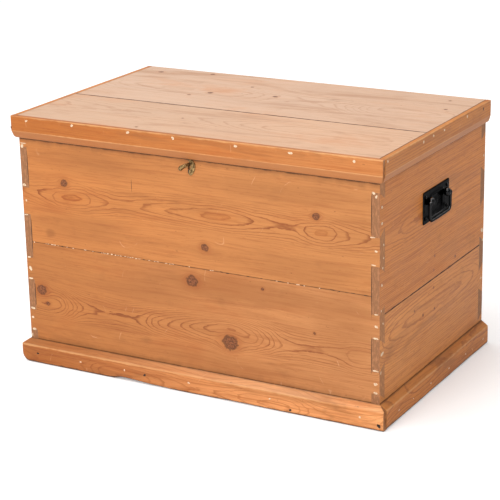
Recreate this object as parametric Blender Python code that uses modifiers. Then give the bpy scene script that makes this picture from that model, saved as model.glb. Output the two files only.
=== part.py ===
"""Dovetailed pine blanket chest.

A nailed plinth, a hinged lid with applied mouldings, two iron drop handles, and a box lock
with its key and a swinging keyhole cover. Metres, +Z up, the front faces -Y. The origin is
on the floor, at the middle of the whole chest's footprint.
"""

import math

import bmesh
import bpy
from mathutils import Matrix, Vector

# --- Driving dimensions ---------------------------------------------------------------------

CARCASS_WIDTH = 0.880
CARCASS_DEPTH = 0.556
HEIGHT = 0.577

GAP = 0.0003                  # clearance between touching pieces
END_THICK = 0.018             # end boards, which carry the tails
FACE_THICK = 0.024            # front and back boards, which carry the pins
BOTTOM_THICK = 0.016
LID_THICK = 0.023

# Heights of the dovetails where they show on the front and back faces, low to high.
# The lowest is a half tail, so it starts at the carcass base.
TAILS = ((None, 0.0740), (0.1225, 0.1950), (0.2475, 0.3500), (0.4120, 0.5050))
PIN_SPLAY = 0.016             # how much a tail narrows on each side towards its root

FACE_JOINT_Z = 0.286          # glued joint of the front and back boards
END_JOINT_Z = 0.243           # joint of the end boards
RIGHT_END_CRACK = 0.0012      # the right end's joint has opened
LID_JOINT_FROM_FRONT = 0.227  # joint of the two lid boards
LID_JOINT_GAP = 0.0020
RIGHT_MOULDING_GAP = 0.0012   # the right moulding stands off the lid boards

PLINTH_OVERHANG = 0.017       # plinth beyond the carcass
LID_OVERHANG = 0.012          # lid mouldings beyond the carcass
MOULDING_CLEARANCE = 0.001    # lid mouldings to the carcass faces
MOULDING_BOTTOM = 0.5264
MOULDING_LIP = 0.0015
MOULDING_BEVEL_TOP = 0.5428
PLINTH_HEIGHT = 0.0524
PLINTH_BEVEL_BOTTOM = 0.0435
PLINTH_LEDGE = 0.0015
BOTTOM_BOARDS = 4

HINGE_X = 0.280
HINGE_LENGTH = 0.064
HINGE_KNUCKLES = 5
KNUCKLE_RADIUS = 0.0045
PIN_RADIUS = 0.0020
PIN_CLEARANCE = 0.0004
AXIS_BEHIND = 0.005           # hinge axis behind the carcass back
LEAF_THICK = 0.002
LEAF_WIDTH = 0.020
LEAF_OFFSET = 0.00035         # leaf face to the plane of the hinge axis
HINGE_SCREW_PITCH = 0.0225
HINGE_SCREW_INSETS = (0.013, 0.008, 0.013)  # from the back face, so that they zigzag

KEYHOLE_X = -0.002
KEYHOLE_Z = 0.5135
KEYHOLE_RADIUS = 0.0042
KEYHOLE_SLOT = 0.0044
KEYHOLE_BOTTOM = 0.5030
KEY_REACH = 0.033             # bow tip to the carcass front
KEY_BOW_TILT = math.radians(36)
KEY_BOW_DEPTH = 0.020
KEY_BOW_WIDTH = 0.022
KEY_BOW_THICK = 0.0036
KEY_BOW_BAND = 0.0042
SHANK_RADIUS = 0.0027
COLLAR_RADIUS = 0.0040
COLLARS = (0.0095, 0.0065)    # in front of the carcass front
BIT_REACH = 0.009
BIT_HALF_THICK = 0.0012
BIT_INSIDE = (0.003, 0.009)   # behind the front board

COVER_PIVOT = (0.0020, 0.5222)
COVER_THICK = 0.0016
COVER_STANDOFF = 0.0004
COVER_BORE = 0.0013
COVER_PIN_RADIUS = 0.0009
COVER_PIN_LENGTH = 0.0100

LOCK_HALF_WIDTH = 0.042
LOCK_DEPTH = 0.0145
LOCK_BOTTOM = 0.491
LOCK_WALL = 0.0015
LOCK_FLANGE = 0.010
LOCK_FLANGE_Z = (0.502, 0.538)
LOCK_FLANGE_THICK = 0.002
LOCK_SCREW_Z = 0.520
BOLT_THICK = 0.004
BOLT_Z = 0.5245               # underside of the bolt's bar
BOLT_BAR = 0.006
BOLT_RIB_X = (-0.0345, 0.0300)
BOLT_RIB_WIDTH = 0.013
BOLT_RIB_HEIGHT = 0.004
FINGER_Z = (0.5435, 0.5480)
FINGER = 0.0075
FINGER_RISER = 0.005
BOLT_SHORT = 0.002            # fingers stand this far short of the staples when unlocked
LINK_HALF_WIDTH = 0.032
LINK_THICK = 0.0022
LINK_SCREW_X = 0.0265
STAPLE_X = (-0.006, 0.018)
STAPLE_THICK = 0.003
STAPLE_WIDTH = 0.010
STAPLE_WINDOW = 0.003         # half its width
STAPLE_WINDOW_DROP = (0.0035, 0.0117)
STAPLE_DROP = 0.0142
STAPLE_SLACK = 0.001

HANDLE_Z = 0.4145
PLATE_WIDTH = 0.136
PLATE_HEIGHT = 0.071
PLATE_THICK = 0.003
PLATE_CORNER = 0.005
PIVOT_OUT = 0.011             # bail axis to the end face
PIVOT_UP = 0.0120             # bail axis above the plate's middle
LUG_RADIUS = 0.006
LUG_FROM = 0.037
LUG_TO = 0.047
BAIL_RADIUS = 0.004
BAIL_END_RADIUS = 0.003
BAIL_HALF_WIDTH = 0.054
BAIL_DROP = 0.0415
BAIL_CORNERS = (0.0065, 0.011, 0.011, 0.0065)
BAIL_END_BORE = 0.0005        # clearance of the bail's ends in the lugs
HANDLE_SCREW = (0.056, 0.0235)

CSK_HEAD = 0.0034
CSK_DEPTH = 0.0018
CSK_SHANK = 0.0017
CSK_LENGTH = 0.0130
DOME_HEAD = 0.0040
DOME_HEIGHT = 0.0022
DOME_SHANK = 0.0019
DOME_LENGTH = 0.0140
SCREW_POINT = 0.0015
HOLE_CLEARANCE = 0.00035

# --- Worked out from them -------------------------------------------------------------------

HALF_WIDTH = CARCASS_WIDTH / 2
BACK_REACH = AXIS_BEHIND + KNUCKLE_RADIUS
CENTRE_Y = (KEY_REACH - BACK_REACH) / 2
FRONT_Y = CENTRE_Y - CARCASS_DEPTH / 2
BACK_Y = CENTRE_Y + CARCASS_DEPTH / 2
BASE_Z = BOTTOM_THICK + GAP
LID_BASE = HEIGHT - LID_THICK
SEAM_Z = LID_BASE - GAP
AXIS_Y = BACK_Y + AXIS_BEHIND
AXIS_Z = (SEAM_Z + LID_BASE) / 2
LOCK_Y = FRONT_Y + FACE_THICK
BEYOND = 0.002                # how far cutters run past the faces they cut

# Rotations that lay a flat outline's own X, Y and thickness along two world axes.
ACROSS_X = Matrix(((0, 0, 1), (1, 0, 0), (0, 1, 0))).to_4x4()   # outline in Y-Z
ACROSS_Y = Matrix(((1, 0, 0), (0, 0, -1), (0, 1, 0))).to_4x4()  # outline in X-Z

MODEL = "pine_blanket_chest"


# --- Scene, collections and materials -------------------------------------------------------

for leftover in list(bpy.data.objects):
    bpy.data.objects.remove(leftover, do_unlink=True)


def make_collection(name):
    collection = bpy.data.collections.new(name)
    bpy.context.scene.collection.children.link(collection)
    return collection


PARTS = make_collection(MODEL)
CUTTERS = make_collection(MODEL + "_cutters")


def make_material(name, colour, roughness, metallic):
    material = bpy.data.materials.new(name)
    material.use_nodes = True
    shader = material.node_tree.nodes["Principled BSDF"]
    shader.inputs["Base Color"].default_value = (*colour, 1.0)
    shader.inputs["Roughness"].default_value = roughness
    shader.inputs["Metallic"].default_value = metallic
    return material


PINE = make_material("waxed_pine", (0.54, 0.23, 0.08), 0.45, 0.0)
PINE_TOP = make_material("faded_pine", (0.70, 0.46, 0.28), 0.50, 0.0)
PINE_BARE = make_material("bare_pine", (0.62, 0.42, 0.24), 0.75, 0.0)
IRON = make_material("japanned_iron", (0.012, 0.012, 0.013), 0.30, 0.6)
STEEL = make_material("dull_steel", (0.25, 0.23, 0.20), 0.50, 0.9)
BRASS = make_material("aged_brass", (0.30, 0.19, 0.06), 0.42, 0.9)


# --- Shape helpers --------------------------------------------------------------------------

def add_object(name, mesh, material, matrix=None):
    """A part, or a cutter when it has no material."""
    obj = bpy.data.objects.new(name, mesh)
    if matrix is not None:
        obj.matrix_world = matrix
    if material is None:
        CUTTERS.objects.link(obj)
        obj.hide_render = True
        obj.display_type = "WIRE"
    else:
        PARTS.objects.link(obj)
        if not mesh.materials:
            mesh.materials.append(material)
    return obj


def mesh_from_bmesh(name, shape):
    mesh = bpy.data.meshes.new(name)
    shape.to_mesh(mesh)
    shape.free()
    return mesh


def box(name, low, high, material=None):
    low, high = Vector(low), Vector(high)
    shape = bmesh.new()
    bmesh.ops.create_cube(shape, size=1.0)
    bmesh.ops.scale(shape, vec=high - low, verts=shape.verts)
    return add_object(name, mesh_from_bmesh(name, shape), material,
                      Matrix.Translation((low + high) / 2))


def cylinder(name, radius, length, matrix, material=None, sides=16):
    shape = bmesh.new()
    bmesh.ops.create_cone(shape, cap_ends=True, segments=sides, radius1=radius,
                          radius2=radius, depth=length)
    return add_object(name, mesh_from_bmesh(name, shape), material, matrix)


def evaluated_mesh(obj):
    """The object's evaluated shape as a welded mesh."""
    bpy.context.view_layer.update()
    evaluated = obj.evaluated_get(bpy.context.evaluated_depsgraph_get())
    mesh = bpy.data.meshes.new_from_object(evaluated)
    shape = bmesh.new()
    shape.from_mesh(mesh)
    bmesh.ops.remove_doubles(shape, verts=shape.verts, dist=1e-6)
    shape.to_mesh(mesh)
    shape.free()
    return mesh


def plate(name, outlines, thickness, matrix, material=None):
    """A flat sheet from closed outlines, the first round the edge and the others holes."""
    curve = bpy.data.curves.new(name, "CURVE")
    curve.dimensions = "2D"
    curve.fill_mode = "BOTH"
    curve.extrude = thickness / 2
    for outline in outlines:
        spline = curve.splines.new("POLY")
        spline.points.add(len(outline) - 1)
        for point, (across, up) in zip(spline.points, outline):
            point.co = (across, up, 0.0, 1.0)
        spline.use_cyclic_u = True
    flat = bpy.data.objects.new(name + "_outline", curve)
    PARTS.objects.link(flat)
    mesh = evaluated_mesh(flat)
    bpy.data.objects.remove(flat, do_unlink=True)
    return add_object(name, mesh, material, matrix)


def plate_across_x(name, outlines, x_low, x_high, material=None):
    middle = Matrix.Translation(((x_low + x_high) / 2, 0.0, 0.0))
    return plate(name, outlines, x_high - x_low, middle @ ACROSS_X, material)


def plate_across_y(name, outlines, y_low, y_high, material=None):
    middle = Matrix.Translation((0.0, (y_low + y_high) / 2, 0.0))
    return plate(name, outlines, y_high - y_low, middle @ ACROSS_Y, material)


def turned_mesh(name, profile, steps=12):
    """A solid of revolution about Z from (radius, height) points, top to bottom."""
    mesh = bpy.data.meshes.new(name + "_profile")
    points = [(radius, 0.0, height) for radius, height in profile]
    mesh.from_pydata(points, [(i, i + 1) for i in range(len(points) - 1)], [])
    profile_object = bpy.data.objects.new(name + "_profile", mesh)
    PARTS.objects.link(profile_object)
    screw = profile_object.modifiers.new("Turn", "SCREW")
    screw.steps = steps
    screw.render_steps = steps
    screw.use_merge_vertices = True
    screw.merge_threshold = 1e-5
    turned = evaluated_mesh(profile_object)
    bpy.data.objects.remove(profile_object, do_unlink=True)
    turned.shade_smooth()
    turned.set_sharp_from_angle(angle=math.radians(35))
    return turned


def combine(obj, operation, *others):
    for other in others:
        modifier = obj.modifiers.new(operation.title(), "BOOLEAN")
        modifier.operation = operation
        modifier.solver = "EXACT"
        modifier.object = other


def cut(obj, *cutters):
    combine(obj, "DIFFERENCE", *cutters)


def join(obj, *others):
    combine(obj, "UNION", *others)


def arc(centre, radius, start, end, steps):
    """Points on an arc, angles in degrees, both ends included."""
    angles = [math.radians(start + (end - start) * i / steps) for i in range(steps + 1)]
    return [(centre[0] + radius * math.cos(a), centre[1] + radius * math.sin(a)) for a in angles]


def circle(centre, radius, sides):
    return arc(centre, radius, 0, 360, sides)[:-1]


def spread(count, pitch):
    """Places of count things in a row at a pitch, about zero."""
    return [(i - (count - 1) / 2) * pitch for i in range(count)]


# --- Screws ---------------------------------------------------------------------------------

CSK_SCREW = turned_mesh("countersunk_screw", (
    (0.0, 0.0), (CSK_HEAD, 0.0), (CSK_SHANK, -CSK_DEPTH),
    (CSK_SHANK, SCREW_POINT - CSK_LENGTH), (0.0, -CSK_LENGTH)))
CSK_HOLE = turned_mesh("countersunk_hole", (
    (0.0, BEYOND), (CSK_HEAD + HOLE_CLEARANCE, BEYOND), (CSK_HEAD + HOLE_CLEARANCE, 0.0),
    (CSK_SHANK + HOLE_CLEARANCE, -CSK_DEPTH), (CSK_SHANK + HOLE_CLEARANCE, -CSK_LENGTH - GAP),
    (0.0, -CSK_LENGTH - GAP)))
DOME_SCREW = turned_mesh("dome_screw", (
    (0.0, DOME_HEIGHT), (0.55 * DOME_HEAD, 0.82 * DOME_HEIGHT),
    (0.9 * DOME_HEAD, 0.42 * DOME_HEIGHT), (DOME_HEAD, 0.0), (DOME_SHANK, 0.0),
    (DOME_SHANK, SCREW_POINT - DOME_LENGTH), (0.0, -DOME_LENGTH)))
DOME_HOLE = turned_mesh("dome_hole", (
    (0.0, BEYOND), (DOME_SHANK + HOLE_CLEARANCE, BEYOND),
    (DOME_SHANK + HOLE_CLEARANCE, -DOME_LENGTH - GAP), (0.0, -DOME_LENGTH - GAP)))

HEAD_UP = Matrix.Identity(4)
HEAD_DOWN = Matrix.Rotation(math.pi, 4, "X")
HEAD_BACK = Matrix.Rotation(-math.pi / 2, 4, "X")   # head towards +Y
HEAD_RIGHT = Matrix.Rotation(math.pi / 2, 4, "Y")   # head towards +X


def screw(name, screw_mesh, hole_mesh, place, turn, material, *pieces):
    """A wood screw, and its clearance hole through every piece that it passes."""
    matrix = Matrix.Translation(place) @ turn
    hole = add_object(name + "_hole", hole_mesh, None, matrix)
    for piece in pieces:
        cut(piece, hole)
    return add_object(name, screw_mesh, material, matrix)


# --- Carcass --------------------------------------------------------------------------------

def tail_edges(low, high, side, depth, clearance=0.0):
    """A tail's low and high edge at a depth from 0 on the face to 1 at the root."""
    face_y = FRONT_Y if side < 0 else BACK_Y
    y = face_y - side * FACE_THICK * depth
    low_z = BASE_Z if low is None else low + PIN_SPLAY * depth
    return (y, low_z - clearance), (y, high - PIN_SPLAY * depth + clearance)


def end_board_outline(bottom, top):
    """Outline in Y-Z of an end board, with the tails between its bottom and top."""
    outlines = {}
    for side in (-1, 1):
        edge = []
        for low, high in TAILS:
            if not bottom <= (low or BASE_Z) < top:
                continue
            face_low, face_high = tail_edges(low, high, side, 0.0)
            root_low, root_high = tail_edges(low, high, side, 1.0)
            edge += [face_low] if low is None else [root_low, face_low]
            edge += [face_high, root_high]
        root_y = tail_edges(*TAILS[1], side, 1.0)[0][0]
        if edge[0][1] > bottom:
            edge.insert(0, (root_y, bottom))
        edge.append((root_y, top))
        outlines[side] = edge
    return outlines[1] + outlines[-1][::-1]


def end_boards(side_name, side, crack):
    outer, inner = side * HALF_WIDTH, side * (HALF_WIDTH - END_THICK)
    x_low, x_high = min(outer, inner), max(outer, inner)
    lower = plate_across_x(side_name + "_end_board_lower",
                           [end_board_outline(BASE_Z, END_JOINT_Z - crack)], x_low, x_high, PINE)
    upper = plate_across_x(side_name + "_end_board_upper",
                           [end_board_outline(END_JOINT_Z, SEAM_Z)], x_low, x_high, PINE)
    return lower, upper


def tail_cutters(side):
    """Prisms that clear the tails of both end boards out of a front or back board."""
    cutters = []
    past = BEYOND / FACE_THICK
    for end in (-1, 1):
        inner = end * (HALF_WIDTH - END_THICK - GAP)
        outer = end * (HALF_WIDTH + BEYOND)
        for number, (low, high) in enumerate(TAILS):
            face_low, face_high = tail_edges(low, high, side, -past, GAP)
            root_low, root_high = tail_edges(low, high, side, 1 + past, GAP)
            outline = [face_low, face_high, root_high, root_low]
            name = f"tail_cutter_{side}_{end}_{number}"
            cutters.append(plate_across_x(name, [outline], min(inner, outer), max(inner, outer)))
    return cutters


def face_boards(face_name, side):
    """The two boards of the front (side -1) or the back (side 1), with pins at both ends."""
    face_y = FRONT_Y if side < 0 else BACK_Y
    root_y = face_y - side * (FACE_THICK - GAP)
    y_low, y_high = min(face_y, root_y), max(face_y, root_y)
    cutters = tail_cutters(side)
    boards = []
    for level, bottom, top in (("lower", BASE_Z, FACE_JOINT_Z - GAP),
                               ("upper", FACE_JOINT_Z, SEAM_Z)):
        board = box(f"{face_name}_board_{level}", (-HALF_WIDTH, y_low, bottom),
                    (HALF_WIDTH, y_high, top), PINE)
        for cutter, (low, high) in zip(cutters, TAILS * 2):
            if (low or BASE_Z) < top and high > bottom:
                cut(board, cutter)
        boards.append(board)
    return boards


def bottom_boards():
    width = CARCASS_WIDTH / BOTTOM_BOARDS
    for number, middle in enumerate(spread(BOTTOM_BOARDS, width), start=1):
        box(f"bottom_board_{number}", (middle - (width - GAP) / 2, FRONT_Y, 0.0),
            (middle + (width - GAP) / 2, BACK_Y, BOTTOM_THICK), PINE_BARE)


def plinth_profile(outer, inner):
    """Skirting section: upright face, then a long shallow bevel up to the carcass."""
    ledge = inner + math.copysign(PLINTH_LEDGE, outer - inner)
    return [(outer, 0.0), (outer, PLINTH_BEVEL_BOTTOM), (ledge, PLINTH_HEIGHT),
            (inner, PLINTH_HEIGHT), (inner, 0.0)]


def return_bevel(piece, overhang, bevel_z, end_z, lip):
    """Carry a side piece's bevel round the two ends of the front piece that covers it."""
    past_z = end_z + math.copysign(BEYOND, end_z - bevel_z)
    for side in (-1, 1):
        outer = side * (HALF_WIDTH + overhang)
        ledge = side * lip
        past = outer + side * BEYOND
        outline = [(outer, bevel_z), (ledge, end_z), (ledge, past_z), (past, past_z),
                   (past, bevel_z)]
        cut(piece, plate_across_y(f"{piece.name}_return_{side}", [outline],
                                  FRONT_Y - overhang - BEYOND, FRONT_Y + BEYOND))


def plinth():
    front_outer = FRONT_Y - PLINTH_OVERHANG
    half = HALF_WIDTH + PLINTH_OVERHANG
    front = plate_across_x("plinth_front", [plinth_profile(front_outer, FRONT_Y - GAP)],
                           -half, half, PINE)
    return_bevel(front, PLINTH_OVERHANG, PLINTH_BEVEL_BOTTOM, PLINTH_HEIGHT,
                 HALF_WIDTH + GAP + PLINTH_LEDGE)
    for name, side in (("plinth_left", -1), ("plinth_right", 1)):
        profile = plinth_profile(side * half, side * (HALF_WIDTH + GAP))
        plate_across_y(name, [profile], FRONT_Y, BACK_Y, PINE)


# --- Lid ------------------------------------------------------------------------------------

def moulding_profile(outer, inner):
    """Lid moulding section: upright face over a bevel that tucks under to a thin lip."""
    lip = inner + math.copysign(MOULDING_LIP, outer - inner)
    return [(outer, HEIGHT), (outer, MOULDING_BEVEL_TOP), (lip, MOULDING_BOTTOM),
            (inner, MOULDING_BOTTOM), (inner, HEIGHT)]


def lid_mouldings():
    half = HALF_WIDTH + LID_OVERHANG
    front_inner = FRONT_Y - MOULDING_CLEARANCE
    front = plate_across_x("lid_moulding_front",
                           [moulding_profile(FRONT_Y - LID_OVERHANG, front_inner)],
                           -half, half, PINE)
    return_bevel(front, LID_OVERHANG, MOULDING_BEVEL_TOP, MOULDING_BOTTOM,
                 HALF_WIDTH + MOULDING_CLEARANCE + MOULDING_LIP)
    for name, side in (("lid_moulding_left", -1), ("lid_moulding_right", 1)):
        profile = moulding_profile(side * half, side * (HALF_WIDTH + MOULDING_CLEARANCE))
        plate_across_y(name, [profile], front_inner + GAP, BACK_Y, PINE)


def lid_boards():
    left = -(HALF_WIDTH + MOULDING_CLEARANCE - GAP)
    right = HALF_WIDTH + MOULDING_CLEARANCE - RIGHT_MOULDING_GAP
    front = FRONT_Y - MOULDING_CLEARANCE + GAP
    joint = FRONT_Y + LID_JOINT_FROM_FRONT
    front_board = box("lid_board_front", (left, front, LID_BASE),
                      (right, joint - LID_JOINT_GAP / 2, HEIGHT), PINE_TOP)
    back_board = box("lid_board_back", (left, joint + LID_JOINT_GAP / 2, LID_BASE),
                     (right, BACK_Y, HEIGHT), PINE_TOP)
    return front_board, back_board


# --- Butt hinges ----------------------------------------------------------------------------

def leaf_profile(side):
    """Section in Y-Z of a leaf with its knuckle; side 1 is the lid leaf, -1 the body leaf."""
    near, far = side * LEAF_OFFSET, side * (LEAF_OFFSET + LEAF_THICK)
    end = -AXIS_BEHIND - LEAF_WIDTH
    start_angle = math.degrees(math.atan2(near, -math.sqrt(KNUCKLE_RADIUS**2 - near**2)))
    end_angle = math.degrees(math.atan2(far, -math.sqrt(KNUCKLE_RADIUS**2 - far**2)))
    sweep = (end_angle - start_angle) * side % 360 * side
    ring = arc((0.0, 0.0), KNUCKLE_RADIUS, start_angle, start_angle + sweep, 20)
    outline = [(end, near), *ring, (end, far)]
    bore = circle((0.0, 0.0), PIN_RADIUS + PIN_CLEARANCE, 16)
    return [[(AXIS_Y + y, AXIS_Z + z) for y, z in points] for points in (outline, bore)]


def hinge(name, middle_x, body_board, lid_board):
    half = HINGE_LENGTH / 2
    pitch = HINGE_LENGTH / HINGE_KNUCKLES
    for leaf_name, side, board in (("body", -1, body_board), ("lid", 1, lid_board)):
        leaf = plate_across_x(f"{name}_{leaf_name}_leaf", leaf_profile(side),
                              middle_x - half, middle_x + half, STEEL)
        kept = 0 if side < 0 else 1
        for number, offset in enumerate(spread(HINGE_KNUCKLES, pitch)):
            if number % 2 != kept:
                x = middle_x + offset
                slot = KNUCKLE_RADIUS + PIN_CLEARANCE
                cut(leaf, box(f"{name}_{leaf_name}_slot_{number}",
                              (x - pitch / 2 - GAP / 2, AXIS_Y - slot, AXIS_Z - slot),
                              (x + pitch / 2 + GAP / 2, AXIS_Y + slot, AXIS_Z + slot)))
        recess_z = sorted((AXIS_Z, AXIS_Z + side * (LEAF_OFFSET + LEAF_THICK + GAP)))
        cut(board, box(f"{name}_{leaf_name}_recess",
                       (middle_x - half - GAP, BACK_Y - LEAF_WIDTH - GAP, recess_z[0]),
                       (middle_x + half + GAP, BACK_Y + BEYOND, recess_z[1])))
        head = HEAD_UP if side < 0 else HEAD_DOWN
        along = spread(len(HINGE_SCREW_INSETS), HINGE_SCREW_PITCH)
        for number, (offset, inset) in enumerate(zip(along, HINGE_SCREW_INSETS), start=1):
            place = (middle_x + offset, BACK_Y - inset, AXIS_Z + side * LEAF_OFFSET)
            screw(f"{name}_{leaf_name}_screw_{number}", CSK_SCREW, CSK_HOLE, place, head,
                  STEEL, leaf, board)
    cylinder(f"{name}_pin", PIN_RADIUS, HINGE_LENGTH,
             Matrix.Translation((middle_x, AXIS_Y, AXIS_Z)) @ Matrix.Rotation(math.pi / 2, 4, "Y"),
             STEEL)


# --- Lock, key and keyhole cover ------------------------------------------------------------

def keyhole(front_board):
    """Round hole for the shank over a slot for the bit, right through the front board."""
    half_slot = KEYHOLE_SLOT / 2
    turn = math.degrees(math.asin(half_slot / KEYHOLE_RADIUS))
    centre = (KEYHOLE_X, KEYHOLE_Z)
    outline = arc(centre, KEYHOLE_RADIUS, turn - 90, 270 - turn, 20)
    outline += [(KEYHOLE_X - half_slot, KEYHOLE_BOTTOM), (KEYHOLE_X + half_slot, KEYHOLE_BOTTOM)]
    cut(front_board, plate_across_y("keyhole_cutter", [outline], FRONT_Y - BEYOND,
                                    LOCK_Y + BEYOND))


def lock_case(front_board):
    """Iron case, open to the board, with slots for the staples and ribs under the bolt."""
    top = SEAM_Z - GAP
    outer_y = LOCK_Y + LOCK_DEPTH
    case = box("lock_case", (-LOCK_HALF_WIDTH, LOCK_Y, LOCK_BOTTOM),
               (LOCK_HALF_WIDTH, outer_y, top), IRON)
    flange_half = LOCK_HALF_WIDTH + LOCK_FLANGE
    join(case, box("lock_flange", (-flange_half, LOCK_Y + GAP / 2, LOCK_FLANGE_Z[0]),
                   (flange_half, LOCK_Y + LOCK_FLANGE_THICK, LOCK_FLANGE_Z[1])))
    cut(case, box("lock_hollow", (-LOCK_HALF_WIDTH + LOCK_WALL, LOCK_Y - BEYOND,
                                  LOCK_BOTTOM + LOCK_WALL),
                  (LOCK_HALF_WIDTH - LOCK_WALL, outer_y - LOCK_WALL, top - LOCK_WALL)))
    slot_half = STAPLE_THICK / 2 + STAPLE_SLACK
    slot_deep = STAPLE_WIDTH / 2 + STAPLE_SLACK
    middle_y = LOCK_Y + LOCK_DEPTH / 2
    for number, x in enumerate(STAPLE_X):
        cut(case, box(f"staple_slot_{number}", (x - slot_half, middle_y - slot_deep, top - BEYOND),
                      (x + slot_half, middle_y + slot_deep, top + BEYOND)))
    for number, x in enumerate(BOLT_RIB_X):
        join(case, box(f"bolt_rib_{number}",
                       (x - BOLT_RIB_WIDTH / 2, middle_y - BOLT_THICK, BOLT_Z - BOLT_RIB_HEIGHT),
                       (x + BOLT_RIB_WIDTH / 2, outer_y - LOCK_WALL / 2, BOLT_Z - GAP)))
    for name, side in (("left", -1), ("right", 1)):
        place = (side * (LOCK_HALF_WIDTH + LOCK_FLANGE / 2), LOCK_Y + LOCK_FLANGE_THICK,
                 LOCK_SCREW_Z)
        screw(f"lock_case_screw_{name}", CSK_SCREW, CSK_HOLE, place, HEAD_BACK, STEEL,
              case, front_board)


def lock_bolt():
    """A bar with two hooked fingers, one for each staple; drawn back at rest."""
    tips = [x - STAPLE_THICK / 2 - BOLT_SHORT for x in STAPLE_X]
    roots = [tip - FINGER - FINGER_RISER for tip in tips]
    bar_top = BOLT_Z + BOLT_BAR
    outline = [(roots[0], BOLT_Z), (tips[1], BOLT_Z), (tips[1], bar_top)]
    for root, tip in zip(reversed(roots), reversed(tips)):
        outline += [(root + FINGER_RISER, bar_top), (root + FINGER_RISER, FINGER_Z[0]),
                    (tip, FINGER_Z[0]), (tip, FINGER_Z[1]), (root, FINGER_Z[1])]
        if root != roots[0]:
            outline.append((root, bar_top))
    middle_y = LOCK_Y + LOCK_DEPTH / 2
    plate_across_y("lock_bolt", [outline], middle_y - BOLT_THICK / 2, middle_y + BOLT_THICK / 2,
                   STEEL)


def link_plate(lid_board):
    """Plate let into the lid's underside, with the two staples that the bolt enters."""
    half = LINK_HALF_WIDTH
    y_low, y_high = LOCK_Y, LOCK_Y + LOCK_DEPTH
    bottom, top = LID_BASE + GAP / 2, LID_BASE + LINK_THICK
    middle_y = (y_low + y_high) / 2
    link = box("lock_link_plate", (-half, y_low, bottom), (half, y_high, top), STEEL)
    cut(lid_board, box("link_plate_recess", (-half - GAP, y_low - GAP, LID_BASE - BEYOND),
                       (half + GAP, y_high + GAP, top + GAP)))

    def upright(half_width, low, high):
        return [(middle_y - half_width, low), (middle_y + half_width, low),
                (middle_y + half_width, high), (middle_y - half_width, high)]

    window = upright(STAPLE_WINDOW, *(SEAM_Z - drop for drop in STAPLE_WINDOW_DROP))
    rim = upright(STAPLE_WIDTH / 2, SEAM_Z - STAPLE_DROP, top - LINK_THICK / 2)
    for number, x in enumerate(STAPLE_X):
        join(link, plate_across_x(f"staple_{number}", [rim, window], x - STAPLE_THICK / 2,
                                  x + STAPLE_THICK / 2))
    for name, side in (("left", -1), ("right", 1)):
        screw(f"link_plate_screw_{name}", CSK_SCREW, CSK_HOLE,
              (side * LINK_SCREW_X, middle_y, bottom), HEAD_DOWN, STEEL, link, lid_board)


def key():
    """Shank with collars, an oval bow outside and a bit inside; it turns about its shank."""
    tip = LOCK_Y + LOCK_DEPTH - LOCK_WALL - 0.001
    bow_front = FRONT_Y - KEY_REACH
    shank_start = bow_front + KEY_BOW_DEPTH - KEY_BOW_BAND / 2
    along = [(0.0, shank_start), (SHANK_RADIUS, shank_start)]
    for collar in COLLARS:
        for radius, offset in ((SHANK_RADIUS, -0.0013), (COLLAR_RADIUS, -0.0008),
                               (COLLAR_RADIUS, 0.0008), (SHANK_RADIUS, 0.0013)):
            along.append((radius, FRONT_Y - collar + offset))
    along += [(SHANK_RADIUS, tip), (0.0, tip)]
    # Turned about Z with the bow end up, then laid along -Y.
    mesh = turned_mesh("key", [(radius, -y) for radius, y in along], steps=16)
    lay = Matrix.Rotation(math.pi / 2, 4, "X")
    place = Matrix.Translation((KEYHOLE_X, 0.0, KEYHOLE_Z))
    shank = add_object("key", mesh, BRASS, place @ lay)
    turn = place @ Matrix.Rotation(-KEY_BOW_TILT, 4, "Y")
    bow_y = bow_front + KEY_BOW_DEPTH / 2
    rims = []
    for inset in (0.0, KEY_BOW_BAND):
        half_width, half_depth = KEY_BOW_WIDTH / 2 - inset, KEY_BOW_DEPTH / 2 - inset
        rims.append([(half_width * x, bow_y + half_depth * y)
                     for x, y in circle((0.0, 0.0), 1.0, 24)])
    bow = plate("key_bow", rims, KEY_BOW_THICK, turn)
    bit = box("key_bit", (-BIT_REACH, LOCK_Y + BIT_INSIDE[0], -BIT_HALF_THICK),
              (0.0, LOCK_Y + BIT_INSIDE[1], BIT_HALF_THICK))
    bit.matrix_world = turn @ bit.matrix_world
    join(shank, bow, bit)


def cover_outline():
    """Leaf-shaped cover about its pivot: a round head, a full outer side, a point below."""
    anchors = ((0.0000, 0.0034), (0.0090, -0.0010), (0.0122, -0.0095), (0.0098, -0.0205),
               (0.0030, -0.0305), (-0.0025, -0.0300), (-0.0030, -0.0225), (0.0012, -0.0150),
               (0.0014, -0.0090), (0.0000, -0.0050), (-0.0034, -0.0006))
    smooth = []
    steps = 3
    count = len(anchors)
    for i in range(count):
        before, start, end, after = (Vector(anchors[(i + k) % count]) for k in (-1, 0, 1, 2))
        for step in range(steps):
            t = step / steps
            smooth.append(tuple(0.5 * (2 * start + (end - before) * t
                                       + (2 * before - 5 * start + 4 * end - after) * t**2
                                       + (3 * start - before - 3 * end + after) * t**3)))
    return smooth


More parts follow.
